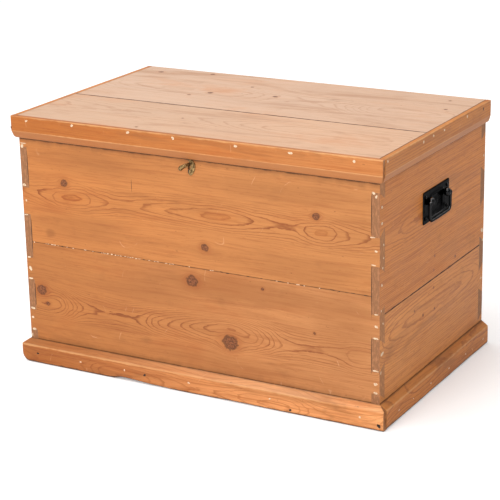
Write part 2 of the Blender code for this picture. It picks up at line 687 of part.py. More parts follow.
def keyhole_cover(front_board):
    """Brass cover, pushed aside by the key, on a round-headed pin."""
    back = FRONT_Y - COVER_STANDOFF
    hole = circle((0.0, 0.0), COVER_BORE, 12)
    middle = Matrix.Translation((COVER_PIVOT[0], back - COVER_THICK / 2, COVER_PIVOT[1]))
    plate("keyhole_cover", [cover_outline(), hole], COVER_THICK, middle @ ACROSS_Y, BRASS)
    head = COVER_THICK + COVER_STANDOFF + GAP
    profile = ((0.0, head + 0.0014), (0.0014, head + 0.0010), (0.0022, head),
               (COVER_PIN_RADIUS, head), (COVER_PIN_RADIUS, 0.001 - COVER_PIN_LENGTH),
               (0.0, -COVER_PIN_LENGTH))
    place = Matrix.Translation((COVER_PIVOT[0], FRONT_Y, COVER_PIVOT[1]))
    towards_front = Matrix.Rotation(math.pi / 2, 4, "X")
    add_object("cover_pin", turned_mesh("cover_pin", profile), BRASS, place @ towards_front)
    cut(front_board, cylinder("cover_pin_hole", COVER_BORE, 2 * (COVER_PIN_LENGTH + BEYOND),
                              place @ towards_front, sides=12))


# --- Drop handles ---------------------------------------------------------------------------

def filleted(corners, radii, steps=4):
    """Open path through 2D corners, each inner corner rounded to its radius."""
    path = [Vector(corners[0])]
    for before, corner, after, radius in zip(corners, corners[1:], corners[2:], radii):
        corner = Vector(corner)
        towards = (Vector(before) - corner).normalized()
        away = (Vector(after) - corner).normalized()
        half = towards.angle(away) / 2
        reach = radius / math.tan(half)
        centre = corner + (towards + away).normalized() * radius / math.sin(half)
        first, last = corner + towards * reach - centre, corner + away * reach - centre
        turn = first.angle_signed(last)
        for step in range(steps + 1):
            spoke = first.copy()
            spoke.rotate(Matrix.Rotation(-turn * step / steps, 2))
            path.append(centre + spoke)
    path.append(Vector(corners[-1]))
    return path


def bail_mesh():
    """Round bar: a U whose ends turn in through the lugs; origin on the pivot axis."""
    inner = LUG_FROM - 0.0015
    half = [(-inner, 0.0), (-BAIL_HALF_WIDTH, 0.0), (-BAIL_HALF_WIDTH, -BAIL_DROP)]
    corners = half + [(-y, z) for y, z in reversed(half)]
    path = filleted(corners, BAIL_CORNERS)
    # The thin ends reach past the lugs before the bar swells to its full size.
    path.insert(1, Vector((-LUG_TO, 0.0)))
    path.insert(-1, Vector((LUG_TO, 0.0)))
    curve = bpy.data.curves.new("bail", "CURVE")
    curve.dimensions = "3D"
    curve.bevel_depth = BAIL_RADIUS
    curve.bevel_resolution = 3
    curve.use_fill_caps = True
    spline = curve.splines.new("POLY")
    spline.points.add(len(path) - 1)
    for number, (point, place) in enumerate(zip(spline.points, path)):
        point.co = (0.0, place.x, place.y, 1.0)
        in_lug = number < 2 or number > len(path) - 3
        point.radius = BAIL_END_RADIUS / BAIL_RADIUS if in_lug else 1.0
    bar = bpy.data.objects.new("bail_bar", curve)
    PARTS.objects.link(bar)
    mesh = evaluated_mesh(bar)
    bpy.data.objects.remove(bar, do_unlink=True)
    mesh.shade_smooth()
    mesh.set_sharp_from_angle(angle=math.radians(40))
    return mesh


def rounded_rectangle(width, height, radius):
    outline = []
    for quarter, (sx, sy) in enumerate(((1, 1), (-1, 1), (-1, -1), (1, -1))):
        centre = (sx * (width / 2 - radius), sy * (height / 2 - radius))
        outline += arc(centre, radius, 90 * quarter, 90 * quarter + 90, 4)
    return outline


def handle(name, side, end_board, bail):
    """Iron plate with two lugs, four screws and a bail; local X points out of the end."""
    facing = Matrix.Identity(4) if side > 0 else Matrix.Rotation(math.pi, 4, "Z")
    frame = Matrix.Translation((side * HALF_WIDTH, CENTRE_Y, HANDLE_Z)) @ facing
    base = plate(f"{name}_plate", [rounded_rectangle(PLATE_WIDTH, PLATE_HEIGHT, PLATE_CORNER)],
                 PLATE_THICK, frame @ Matrix.Translation((GAP + PLATE_THICK / 2, 0, 0)) @ ACROSS_X,
                 IRON)
    along_y = Matrix.Rotation(math.pi / 2, 4, "X")
    lug_length = LUG_TO - LUG_FROM
    for lug_name, across in (("a", -1), ("b", 1)):
        place = frame @ Matrix.Translation((PIVOT_OUT, across * (LUG_FROM + LUG_TO) / 2, PIVOT_UP))
        knuckle = cylinder(f"{name}_lug_{lug_name}", LUG_RADIUS, lug_length, place @ along_y,
                           sides=20)
        web = box(f"{name}_web_{lug_name}", (0.001 - PIVOT_OUT, GAP - lug_length / 2, -LUG_RADIUS),
                  (0.0, lug_length / 2 - GAP, LUG_RADIUS))
        web.matrix_world = place @ web.matrix_world
        join(base, web, knuckle)
        bore = cylinder(f"{name}_bore_{lug_name}", BAIL_END_RADIUS + BAIL_END_BORE,
                        lug_length + 2 * BEYOND, place @ along_y)
        cut(base, bore)
    for number, (across, up) in enumerate(((-1, 1), (1, 1), (-1, -1), (1, -1)), start=1):
        place = frame @ Vector((GAP + PLATE_THICK + GAP / 2, across * HANDLE_SCREW[0],
                                up * HANDLE_SCREW[1]))
        screw(f"{name}_screw_{number}", DOME_SCREW, DOME_HOLE, place, facing @ HEAD_RIGHT, IRON,
              base, end_board)
    pivot = frame @ Matrix.Translation((PIVOT_OUT, 0.0, PIVOT_UP))
    add_object(f"{name}_bail", bail, IRON, pivot)


# --- Assembly -------------------------------------------------------------------------------

def build():
    left_lower, left_upper = end_boards("left", -1, GAP)
    right_lower, right_upper = end_boards("right", 1, RIGHT_END_CRACK)
    front_lower, front_upper = face_boards("front", -1)
    back_lower, back_upper = face_boards("back", 1)
    bottom_boards()
    plinth()

    lid_mouldings()
    lid_front, lid_back = lid_boards()
    hinge("hinge_left", -HINGE_X, back_upper, lid_back)
    hinge("hinge_right", HINGE_X, back_upper, lid_back)

    keyhole(front_upper)
    lock_case(front_upper)
    lock_bolt()
    link_plate(lid_front)
    key()
    keyhole_cover(front_upper)

    bail = bail_mesh()
    handle("handle_left", -1, left_upper, bail)
    handle("handle_right", 1, right_upper, bail)


build()
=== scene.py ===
"""Looks of the pine blanket chest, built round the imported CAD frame."""

import math
import random

import bmesh
import bpy
from mathutils import Matrix, Vector, noise


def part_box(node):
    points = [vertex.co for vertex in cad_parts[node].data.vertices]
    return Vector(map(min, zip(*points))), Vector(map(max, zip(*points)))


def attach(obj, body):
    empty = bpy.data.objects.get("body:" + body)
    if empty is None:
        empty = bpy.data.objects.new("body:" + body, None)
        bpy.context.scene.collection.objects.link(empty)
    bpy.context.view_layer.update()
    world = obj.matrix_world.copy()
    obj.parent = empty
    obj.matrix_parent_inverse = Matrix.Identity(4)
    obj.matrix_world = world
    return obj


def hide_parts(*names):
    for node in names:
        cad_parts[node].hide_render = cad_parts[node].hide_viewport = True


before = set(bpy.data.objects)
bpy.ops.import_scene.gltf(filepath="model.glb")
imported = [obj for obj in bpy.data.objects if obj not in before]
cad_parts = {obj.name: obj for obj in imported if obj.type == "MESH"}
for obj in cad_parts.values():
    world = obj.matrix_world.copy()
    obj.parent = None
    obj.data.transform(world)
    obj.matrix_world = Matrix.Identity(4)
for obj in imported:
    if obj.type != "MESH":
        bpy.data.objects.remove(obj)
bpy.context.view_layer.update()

# --- Places read from the frame, and a few given sizes --------------------------------------

FRONT_LOW, FRONT_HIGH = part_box("front_board_upper")
FRONT_Y = FRONT_LOW.y
BACK_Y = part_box("back_board_upper")[1].y
HALF_WIDTH = FRONT_HIGH.x
CENTRE_Y = (FRONT_Y + BACK_Y) / 2
LID_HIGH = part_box("lid_board_front")[1]
LID_TOP = LID_HIGH.z
LID_JOINT_Y = (LID_HIGH.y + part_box("lid_board_back")[0].y) / 2
FACE_JOINT_Z = FRONT_LOW.z
END_JOINT_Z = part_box("right_end_board_upper")[0].z
MOULDING_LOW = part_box("lid_moulding_front")[0]
PLINTH_LOW, PLINTH_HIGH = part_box("plinth_front")
PLINTH_TOP = PLINTH_HIGH.z
MOULDING_BOTTOM = MOULDING_LOW.z
MOULDING_BEVEL = 0.0164       # height of the moulding's under-bevel
PLINTH_BEVEL = 0.0107         # height of the plinth's top bevel
LIP = 0.0015                  # how far the plinth's top edge stands out
FLOOR_DROP = 0.0002           # the floor lies this far under the plinth
STRIP_INSET = 0.00035         # trim is worn back about this far, and its fillers lie there
FILLER_LIFT = 0.00005         # fillers lie this far off a board

MODEL = bpy.data.collections.new("looks")
bpy.context.scene.collection.children.link(MODEL)


# --- Camera, light and floor ----------------------------------------------------------------

def add_camera():
    """A long lens, a little above the lid, turned round to the right of the front."""
    azimuth, elevation, roll = math.radians(29.60), math.radians(18.05), math.radians(-1.25)
    distance, slide, lift, aim_height = 3.951, -0.01445, -0.01909, 0.264
    back = Vector((math.sin(azimuth) * math.cos(elevation),
                   -math.cos(azimuth) * math.cos(elevation), math.sin(elevation)))
    right = Vector((math.cos(azimuth), math.sin(azimuth), 0.0))
    up = back.cross(right)
    place = Vector((0.0, CENTRE_Y, aim_height)) + back * distance + right * slide + up * lift
    rolled_right = right * math.cos(roll) + up * math.sin(roll)
    rolled_up = up * math.cos(roll) - right * math.sin(roll)
    data = bpy.data.cameras.new("camera")
    data.sensor_width = 36.0
    data.lens = 125.13
    camera = bpy.data.objects.new("camera", data)
    rotation = Matrix((rolled_right, rolled_up, back)).transposed().to_4x4()
    camera.matrix_world = Matrix.Translation(place) @ rotation
    MODEL.objects.link(camera)
    bpy.context.scene.camera = camera


def add_light(name, place, aim, size, power, colour=(1.0, 1.0, 1.0)):
    data = bpy.data.lights.new(name, "AREA")
    data.shape = "RECTANGLE"
    data.size, data.size_y = size
    data.energy = power
    data.color = colour
    light = bpy.data.objects.new(name, data)
    direction = Vector(aim) - Vector(place)
    light.location = place
    light.rotation_euler = direction.to_track_quat("-Z", "Y").to_euler()
    MODEL.objects.link(light)


def add_studio():
    """A white room, brighter to the left, two soft lights and a small one for glints."""
    scene = bpy.context.scene
    scene.view_settings.view_transform = "Standard"
    world = bpy.data.worlds.new("studio")
    scene.world = world
    world.use_nodes = True
    tree = world.node_tree
    background = tree.nodes["Background"]
    background.inputs["Color"].default_value = (1.0, 1.0, 1.0, 1.0)
    direction = tree.nodes.new("ShaderNodeTexCoord")
    split = tree.nodes.new("ShaderNodeSeparateXYZ")
    fade = tree.nodes.new("ShaderNodeMapRange")
    fade.interpolation_type = "SMOOTHSTEP"
    left, right, left_strength, right_strength = -0.2, 0.8, 0.80, 0.32
    for socket, value in zip(fade.inputs[1:], (left, right, left_strength, right_strength)):
        socket.default_value = value
    tree.links.new(direction.outputs["Generated"], split.inputs[0])
    tree.links.new(split.outputs["X"], fade.inputs[0])
    tree.links.new(fade.outputs[0], background.inputs["Strength"])
    middle = (0.0, CENTRE_Y, 0.3)
    add_light("overhead", (-0.4, -0.7, 3.2), middle, (3.0, 3.0), 74.0)
    add_light("front", (-0.5, -3.9, 1.7), middle, (1.6, 1.6), 44.0)
    add_light("glint", (1.9, -2.5, 1.9), (0.45, CENTRE_Y, 0.42), (0.36, 0.36), 12.0)


def add_floor():
    """White floor with a painted glow, weaker near the chest, which paints a darker ring of shade
    about it.
    """
    near, far, near_glow, far_glow = 0.5, 1.6, 0.22, 0.38
    floor_mesh = bpy.data.meshes.new("floor")
    shape = bmesh.new()
    bmesh.ops.create_grid(shape, x_segments=1, y_segments=1, size=40.0)
    shape.to_mesh(floor_mesh)
    shape.free()
    floor = bpy.data.objects.new("floor", floor_mesh)
    floor.location.z = -FLOOR_DROP
    g = Graph("floor_white_glow")
    g.shader.inputs["Base Color"].default_value = (0.90, 0.90, 0.90, 1.0)
    g.shader.inputs["Roughness"].default_value = 0.9
    g.shader.inputs["Specular IOR Level"].default_value = 0.1
    g.shader.inputs["Emission Color"].default_value = (1.0, 1.0, 1.0, 1.0)
    reach = g.node("ShaderNodeVectorMath", operation="LENGTH")
    g.feed(reach.inputs[0], g.node("ShaderNodeTexCoord").outputs["Object"])
    # Painted light: the floor glows, and glows less near the chest as painted shade.
    g.feed(g.shader.inputs["Emission Strength"],
           g.step(reach.outputs["Value"], near, far, near_glow, far_glow))
    floor_mesh.materials.append(g.material)
    MODEL.objects.link(floor)


# --- Node graph helper ----------------------------------------------------------------------

class Graph:
    """Builds a material. The values it joins up are sockets, numbers or colours."""

    def __init__(self, name):
        self.material = bpy.data.materials.new(name)
        self.material.use_nodes = True
        self.tree = self.material.node_tree
        self.shader = self.tree.nodes["Principled BSDF"]

    def node(self, kind, **settings):
        node = self.tree.nodes.new(kind)
        for key, value in settings.items():
            setattr(node, key, value)
        return node

    def feed(self, socket, value):
        if isinstance(value, bpy.types.NodeSocket):
            self.tree.links.new(value, socket)
        elif isinstance(value, (tuple, list)) and len(socket.default_value) == 4:
            socket.default_value = (*value[:3], 1.0)
        else:
            socket.default_value = value

    def math(self, operation, *values, clamp=False):
        node = self.node("ShaderNodeMath", operation=operation, use_clamp=clamp)
        for socket, value in zip(node.inputs, values):
            self.feed(socket, value)
        return node.outputs[0]

    def add(self, *values):
        total = values[0]
        for value in values[1:]:
            total = self.math("ADD", total, value)
        return total

    def times(self, *values):
        total = values[0]
        for value in values[1:]:
            total = self.math("MULTIPLY", total, value)
        return total

    def minus(self, a, b):
        return self.math("SUBTRACT", a, b)

    def size(self, a, b):
        return self.math("SQRT", self.add(self.times(a, a), self.times(b, b)))

    def step(self, value, low, high, out_low=0.0, out_high=1.0):
        """Smooth step of a value from low to high."""
        node = self.node("ShaderNodeMapRange", interpolation_type="SMOOTHSTEP")
        for socket, item in zip(node.inputs, (value, low, high, out_low, out_high)):
            self.feed(socket, item)
        return node.outputs[0]

    def vector(self, x, y, z):
        node = self.node("ShaderNodeCombineXYZ")
        for socket, value in zip(node.inputs, (x, y, z)):
            self.feed(socket, value)
        return node.outputs[0]

    def noise(self, vector, detail=2.0, roughness=0.5, distortion=0.0):
        node = self.node("ShaderNodeTexNoise")
        self.feed(node.inputs["Vector"], vector)
        node.inputs["Scale"].default_value = 1.0
        node.inputs["Detail"].default_value = detail
        node.inputs["Roughness"].default_value = roughness
        node.inputs["Distortion"].default_value = distortion
        return node.outputs["Fac"]

    def solid_noise(self, axes, scale, **settings):
        """Noise of the same scale along three axes."""
        return self.noise(self.vector(*(self.times(axis, scale) for axis in axes)), **settings)

    def mix(self, factor, a, b, blend="MIX"):
        node = self.node("ShaderNodeMix", data_type="RGBA", blend_type=blend)
        self.feed(node.inputs[0], factor)
        self.feed(node.inputs[6], a)
        self.feed(node.inputs[7], b)
        return node.outputs[2]

    def lay(self, base, value, low, high, amount, colour):
        """Lays a colour over another, up to an amount, as a value passes from low to high."""
        return self.mix(self.step(value, low, high, 0.0, amount), base, colour)

    def curve(self, value, points):
        """A value read along a smooth curve through (x, y) points."""
        xs = [x for x, _ in points]
        ys = [y for _, y in points]
        low, high, base, top = min(xs), max(xs), min(ys), max(ys)
        scaled = self.times(self.minus(value, low), 1.0 / (high - low))
        node = self.node("ShaderNodeFloatCurve")
        line = node.mapping.curves[0]
        for _ in points[2:]:
            line.points.new(0.5, 0.5)
        for point, (x, y) in zip(line.points, points):
            point.location = ((x - low) / (high - low), (y - base) / (top - base))
        node.mapping.update()
        self.feed(node.inputs["Value"], scaled)
        return self.add(self.times(node.outputs[0], top - base), base)

    def bump(self, height, distance, strength=1.0):
        node = self.node("ShaderNodeBump")
        node.inputs["Strength"].default_value = strength
        node.inputs["Distance"].default_value = distance
        self.feed(node.inputs["Height"], height)
        return node.outputs["Normal"]

    def place(self):
        """Position on the piece at rest and its normal, each as x, y and z."""
        coordinates = self.node("ShaderNodeTexCoord")
        answers = []
        for output in ("Object", "Normal"):
            split = self.node("ShaderNodeSeparateXYZ")
            self.feed(split.inputs[0], coordinates.outputs[output])
            answers.append(dict(zip("xyz", split.outputs)))
        return answers


def shade(colour, factor):
    return tuple(channel * factor for channel in colour)


# --- Pine -----------------------------------------------------------------------------------

EARLY = (0.495, 0.178, 0.044)
LATE = (0.235, 0.058, 0.011)
HEART = (0.500, 0.142, 0.022)
SMEAR = (0.300, 0.102, 0.025)
EVEN = (1.0, 1.0, 1.0)
KNOT_DARK = (0.085, 0.027, 0.011)
KNOT_RED = (0.255, 0.082, 0.027)
END_GRAIN = (0.310, 0.135, 0.058)
# Dirt in the joints and specks, and also painted shade under the moulding and at the plinth's
# foot.
GRIME_AND_SHADE = (0.078, 0.027, 0.007)
# The colour of painted shade on faces that look down.
DOWNWARD_SHADE = (0.370, 0.142, 0.048)
BARE = (0.560, 0.330, 0.160)
STAIN = (0.190, 0.073, 0.022)
SCRATCH = (0.740, 0.420, 0.220)
RUBBED_EDGE = (0.680, 0.360, 0.150)
PALE_UPWARD_TONE = (0.660, 0.320, 0.130)


def pine(name, along, across, depth, axis, pith, spacing, figure=0.04, quiet=0.2, knots=(),
         early=EARLY, late=LATE, smear=SMEAR, contrast=1.0, seed=0.0, roughness=0.46,
         end_tone=END_GRAIN, seams=(), arrises=(), inside=None, heart=0.0, wear=1.0, drift=0.30,
         fade=(EVEN, EVEN), brush=1.0, wobble=1.0, smudges=(), upper=0.0, under=DOWNWARD_SHADE):
    """Waxed pine as a solid log: growth rings about a wandering pith, cut by the board.

    along, across and depth name the board's axes. axis is the pith's place across the board,
    and pith its distance behind the surface, as (along, distance) points. Rings of that
    distance show as cathedral figure where it changes. They are strong within figure of the
    axis and quiet beyond it. heart is the radius of the redder heartwood. knots are (along,
    across, radius). seams are (axis, place, half width, strength) dark lines, of dirt in the
    joints and of painted shade under the overhangs, arrises (axis, place, axis, place, radius,
    strength) rubbed edges, inside (axis, sign) the bare side, drift the strength of dull
    smears, fade the tint at the board's two ends, brush the strength of the fine streaks, wear
    that of stains, dents and scratches, wobble how far the rings stray, upper how much paler
    the upward faces are made, and under the colour of the painted shade on the downward ones.
    smudges are dull patches, (along, across, half length, half height, strength).
    """
    g = Graph(name)
    where, facing = g.place()
    u, v, w = where[along], where[across], where[depth]

    def field(u_scale, v_scale, offset=0.0, rows=v, **settings):
        """Noise over the board's face, with its own scale along and across the grain."""
        return g.noise(g.vector(g.times(u, u_scale), g.times(rows, v_scale), seed + offset),
                       **settings)

    wander, ripple = field(2.2, 5.0), field(9.0, 34.0, 3.0)
    jitter = field(45.0, 160.0, 4.0, detail=3.0)
    v_grain = g.add(v, g.times(g.minus(wander, 0.5), 0.026 * wobble))

    # Grain flows round each knot as a stream does round a stone.
    knot_mask, knot_halo, knot_rim = 0.0, 0.0, 0.0
    for knot_u, knot_v, radius in knots:
        du, dv = g.minus(u, knot_u), g.minus(v, knot_v)
        core = (radius * 1.25) ** 2
        reach = g.add(g.times(du, du, 0.45), g.times(dv, dv))
        push = g.math("DIVIDE", core, g.math("MAXIMUM", reach, core))
        v_grain = g.minus(v_grain, g.times(dv, push))
        rough = field(120.0, 120.0, knot_u * 9.0)
        near = g.math("SQRT", g.add(g.times(du, du, 0.8), g.times(dv, dv)))
        q = g.add(g.times(near, 1.0 / radius), g.times(g.minus(rough, 0.5), 0.9))
        knot_mask = g.math("MAXIMUM", knot_mask, g.step(q, 1.12, 0.72))
        knot_halo = g.math("MAXIMUM", knot_halo, g.step(q, 2.9, 0.9))
        knot_rim = g.add(knot_rim, g.times(g.step(q, 1.25, 1.0), g.step(q, 0.72, 0.95)))

    # Growth rings, each ending in a dark line of late wood.
    off_axis = g.minus(v_grain, axis)
    behind = g.curve(u, pith)
    r = g.add(g.size(behind, off_axis), g.times(g.minus(ripple, 0.5), spacing * 1.35 * wobble),
              g.times(g.minus(jitter, 0.5), spacing * 0.42))
    phase = g.times(r, 1.0 / spacing)
    ring = g.math("FRACT", phase)
    vary = g.noise(g.vector(g.math("FLOOR", phase), seed + 11.0, g.times(u, 1.6)), detail=1.0)
    band = g.step(g.math("ABSOLUTE", off_axis), figure * 0.7, figure * 1.7, 1.0, quiet)
    late_line = g.times(g.step(ring, 0.66, 0.93), g.step(ring, 1.0, 0.95))
    strength = g.times(late_line, band, g.step(vary, 0.28, 0.62, 0.45, 1.0), contrast)
    base = g.mix(strength, early, late)
    if heart:
        base = g.mix(g.times(g.step(r, heart + spacing * 0.2, heart - spacing * 0.3), 0.25),
                     base, HEART)

    # Fibres and long streaks, dark and pale, then slow drifts of tone.
    fibre = g.noise(g.vector(g.times(u, 14.0), g.times(v_grain, 520.0), g.times(w, 520.0)),
                    detail=3.0, roughness=0.65)
    streak = field(3.4, 85.0, 5.0, v_grain, detail=4.0, roughness=0.62)
    thread = field(7.0, 260.0, 6.0, v_grain, detail=3.0, roughness=0.6)
    fleck = field(34.0, 240.0, 9.0, v_grain, detail=2.0, roughness=0.7)
    blotch = field(4.0, 9.0, 7.0, detail=4.0, roughness=0.62, distortion=0.5)
    cloud = field(3.2, 17.0, 8.0, detail=4.0, roughness=0.66, distortion=0.8)
    for line, dark_from, dark_to, dark, dark_tone, pale_from, pale_to, pale, pale_tone in (
            (streak, 0.50, 0.70, 0.42, 1.25, 0.46, 0.30, 0.30, 1.16),
            (thread, 0.50, 0.66, 0.34, 1.20, 0.45, 0.32, 0.26, 1.18),
            (fleck, 0.58, 0.72, 0.38, 1.15, 0.40, 0.28, 0.34, 1.22)):
        base = g.lay(base, line, dark_from, dark_to, dark * brush, shade(late, dark_tone))
        base = g.lay(base, line, pale_from, pale_to, pale * brush, shade(early, pale_tone))
    tone = g.add(0.78, g.times(fibre, 0.22), g.times(blotch, 0.24))
    base = g.mix(1.0, base, g.vector(tone, tone, tone), "MULTIPLY")
    tint = g.mix(g.step(u, -0.45, 0.45), *fade)
    base = g.mix(1.0, base, tint, "MULTIPLY")
    base = g.lay(base, blotch, 0.52, 0.74, drift, shade(late, 1.35))
    base = g.lay(base, cloud, 0.50, 0.72, drift * 1.5, smear)

    for smudge_u, smudge_v, half_u, half_v, amount in smudges:
        away = g.size(g.times(g.minus(u, smudge_u), 1.0 / half_u),
                      g.times(g.minus(v, smudge_v), 1.0 / half_v))
        away = g.add(away, g.times(g.minus(cloud, 0.5), 2.2))
        base = g.lay(base, away, 1.25, 0.35, amount, shade(smear, 0.92))

    # Knots, with a warm halo and a broken bark line.
    base = g.mix(g.times(knot_halo, 0.34), base, shade(late, 1.25))
    base = g.mix(g.times(knot_mask, 0.92), base,
                 g.mix(g.step(field(260.0, 260.0), 0.35, 0.65), KNOT_DARK, KNOT_RED))
    base = g.mix(g.math("MINIMUM", g.times(knot_rim, 0.6), 1.0), base, shade(KNOT_DARK, 0.5))

    # Specks, stains, fine scratches and dents.
    speck = field(60.0, 150.0, 13.0, roughness=0.7)
    base = g.lay(base, speck, 0.69, 0.78, 0.6 * wear, shade(GRIME_AND_SHADE, 2.2))
    stain = field(11.0, 16.0, 15.0, detail=3.0, roughness=0.6)
    base = g.lay(base, stain, 0.60, 0.80, 0.28 * wear, STAIN)
    scratch_line = g.math("ABSOLUTE", g.minus(field(13.0, 8.0, 19.0, detail=1.0), 0.5))
    scratch = g.times(g.step(scratch_line, 0.0045, 0.0015),
                      g.step(field(21.0, 27.0, 21.0), 0.60, 0.70))
    base = g.mix(g.times(scratch, 0.26 * wear), base, SCRATCH)
    dent = field(22.0, 45.0, 17.0, detail=4.0, roughness=0.65)     # only in the relief

    # Old dirt in the joints and painted shade under the overhangs, and edges rubbed pale.
    ragged = g.minus(g.solid_noise((u, v, w), 55.0, detail=3.0), 0.5)
    for letter, place, half_width, amount in seams:
        away = g.math("ABSOLUTE", g.minus(where[letter], place))
        away = g.add(away, g.times(ragged, half_width * 1.2))
        base = g.lay(base, away, half_width, half_width * 0.25, amount, GRIME_AND_SHADE)
    for first, first_place, second, second_place, radius, amount in arrises:
        away = g.size(g.minus(where[first], first_place), g.minus(where[second], second_place))
        away = g.add(away, g.times(ragged, radius * 1.4))
        rubbed = g.times(g.step(away, radius, radius * 0.3, 0.0, amount),
                         g.step(streak, 0.62, 0.42, 0.25, 1.0))
        base = g.mix(rubbed, base, RUBBED_EDGE)
    # Upward faces made paler.
    if upper:
        above = g.times(g.step(facing["z"], 0.30, 0.60), g.step(streak, 0.66, 0.36, 0.25, 1.0))
        base = g.mix(g.times(above, upper), base, g.mix(1.0, PALE_UPWARD_TONE, tint, "MULTIPLY"))
    # Painted shade: faces that look down take the under colour.
    facing_down_shade = g.step(g.times(facing["z"], -1.0), 0.10, 0.26)
    base = g.mix(g.times(facing_down_shade, g.step(cloud, 0.30, 0.65, 0.50, 0.80)), base, under)

    # End grain where the surface cuts across the fibres.
    across_fibres = g.step(g.math("ABSOLUTE", facing[along]), 0.55, 0.85)
    pores = g.noise(g.vector(g.times(v, 900.0), g.times(w, 900.0), seed))
    end_smear = g.noise(g.vector(g.times(v, 90.0), g.times(w, 260.0), seed + 2.0), detail=3.0)
    end = g.mix(g.step(pores, 0.35, 0.7), shade(end_tone, 0.75), end_tone)
    end = g.lay(end, end_smear, 0.45, 0.70, 0.6, shade(end_tone, 1.5))
    base = g.mix(across_fibres, base, end)
    rough_side = g.times(across_fibres, 0.18)
    if inside:
        letter, sign = inside
        bare = g.step(g.times(facing[letter], sign), 0.5, 0.8)
        pale = g.mix(g.times(strength, 0.7), BARE, shade(BARE, 0.62))
        pale = g.lay(pale, blotch, 0.40, 0.75, 0.45, shade(BARE, 0.70))
        pale = g.mix(g.times(knot_mask, 0.8), pale, KNOT_RED)
        base = g.mix(bare, base, pale)
        rough_side = g.add(rough_side, g.times(bare, 0.28))
    g.feed(g.shader.inputs["Base Color"], base)
    shine = g.add(roughness - 0.06, g.times(blotch, 0.14), g.times(stain, 0.08), rough_side)
    g.feed(g.shader.inputs["Roughness"], shine)
    relief = g.add(g.times(fibre, 0.22), g.times(late_line, 0.14), g.times(dent, 0.9 * wear),
                   g.times(knot_rim, -0.5), g.times(scratch, -0.3))
    g.feed(g.shader.inputs["Normal"], g.bump(relief, 0.0009, 0.5))
    g.shader.inputs["Specular IOR Level"].default_value = 0.24
    return g.material


# --- Iron, brass, steel, putty and dirt -----------------------------------------------------

def iron(name, gloss, rubbed=0.0):
    """Black japanned iron: glossy paint chipped to brown, upward faces worn grey with painted
    highlight.

    gloss is the tone of the paint, and rubbed how far its upper faces are painted grey, as wear
    and as highlight.
    """
    g = Graph(name)
    where, facing = g.place()
    flow = g.solid_noise(where.values(), 90.0, detail=3.0)
    chips = g.solid_noise(where.values(), 420.0, detail=3.0, roughness=0.7)
    base = g.mix(flow, (gloss * 0.7, gloss * 0.7, gloss * 0.74),
                 (gloss * 1.3, gloss * 1.3, gloss * 1.33))
    base = g.lay(base, chips, 0.66, 0.74, 0.7, (0.060, 0.042, 0.030))
    # Painted highlight and wear: faces that look up turn grey.
    worn = g.times(g.step(facing["z"], 0.25, 0.90), g.step(flow, 0.30, 0.60, 0.4, 1.0))
    base = g.mix(g.times(worn, rubbed), base, (0.26, 0.26, 0.26))
    g.feed(g.shader.inputs["Base Color"], base)
    g.feed(g.shader.inputs["Roughness"], g.add(0.10, g.times(flow, 0.20)))
    g.shader.inputs["Metallic"].default_value = 1.0
    g.shader.inputs["Specular Tint"].default_value = (0.50, 0.50, 0.50, 1.0)
    g.feed(g.shader.inputs["Normal"], g.bump(g.add(flow, g.times(chips, 0.25)), 0.0008, 0.5))
    return g.material


def old_metal(name, scale, edges, colours, shine, metallic, relief):
    """Metal in two colours that meet in patches, between two values of a noise.

    shine holds two values of that noise and the roughness at each.
    """
    g = Graph(name)
    where, _ = g.place()
    patches = g.solid_noise(where.values(), scale, detail=4.0, roughness=0.65)
    g.feed(g.shader.inputs["Base Color"], g.mix(g.step(patches, *edges), *colours))
    g.feed(g.shader.inputs["Roughness"], g.step(patches, *shine))
    g.shader.inputs["Metallic"].default_value = metallic
    g.feed(g.shader.inputs["Normal"], g.bump(patches, relief, 0.4))
    return g.material


def steel(name, bright=(0.20, 0.18, 0.16), rust=(0.085, 0.035, 0.016)):
    """Dull steel with rust in patches."""
    return old_metal(name, 160.0, (0.45, 0.66), (bright, rust), (0.40, 0.70, 0.38, 0.75), 0.8,
                     0.0004)


def putty(name):
    """Chalky filler, handled until its edges are grey."""
    g = Graph(name)
    where, _ = g.place()
    grain = g.solid_noise(where.values(), 500.0, detail=3.0)
    g.feed(g.shader.inputs["Base Color"], g.mix(g.step(grain, 0.30, 0.62), (0.46, 0.28, 0.15),
                                                (0.76, 0.59, 0.41)))
    g.shader.inputs["Roughness"].default_value = 0.75
    g.feed(g.shader.inputs["Normal"], g.bump(grain, 0.0004, 0.6))
    return g.material


def dirt(name):
    """Old packed dirt, also laid as painted shadow in the open joints."""
    g = Graph(name)
    where, _ = g.place()
    crumbs = g.solid_noise(where.values(), 400.0, detail=3.0)
    g.feed(g.shader.inputs["Base Color"], g.mix(crumbs, (0.012, 0.006, 0.004),
                                                (0.055, 0.026, 0.014)))
    g.shader.inputs["Roughness"].default_value = 0.9
    return g.material


# --- Pieces ---------------------------------------------------------------------------------

def make_piece(name, points, faces, material, body, slot, replaced=(), sharp=40.0):
    mesh = bpy.data.meshes.new(name)
    mesh.from_pydata([tuple(point) for point in points], [], faces)
    shape = bmesh.new()
    shape.from_mesh(mesh)
    bmesh.ops.recalc_face_normals(shape, faces=shape.faces)
    shape.to_mesh(mesh)
    shape.free()
    mesh.shade_smooth()
    mesh.set_sharp_from_angle(angle=math.radians(sharp))
    mesh.materials.append(material)
    piece = bpy.data.objects.new(name, mesh)
    MODEL.objects.link(piece)
    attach(piece, body)
    if replaced:
        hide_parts(*replaced)
    return piece


def dress(node, material, bevel=0.0005, segments=2):
    """Gives a CAD node its material and eased edges."""
    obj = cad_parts[node]
    if obj.material_slots:
        for slot in obj.material_slots:
            slot.material = material
    else:
        obj.data.materials.append(material)
    if bevel:
        ease = obj.modifiers.new("eased_edges", "BEVEL")
        ease.width = bevel
        ease.segments = segments
        ease.limit_method = "ANGLE"
        ease.angle_limit = math.radians(35)


def wave(place, scale, seed):
    """Smooth noise of a place along a piece, from -1 to 1."""
    return noise.noise(Vector((place * scale, seed * 7.31, seed * 1.7)))


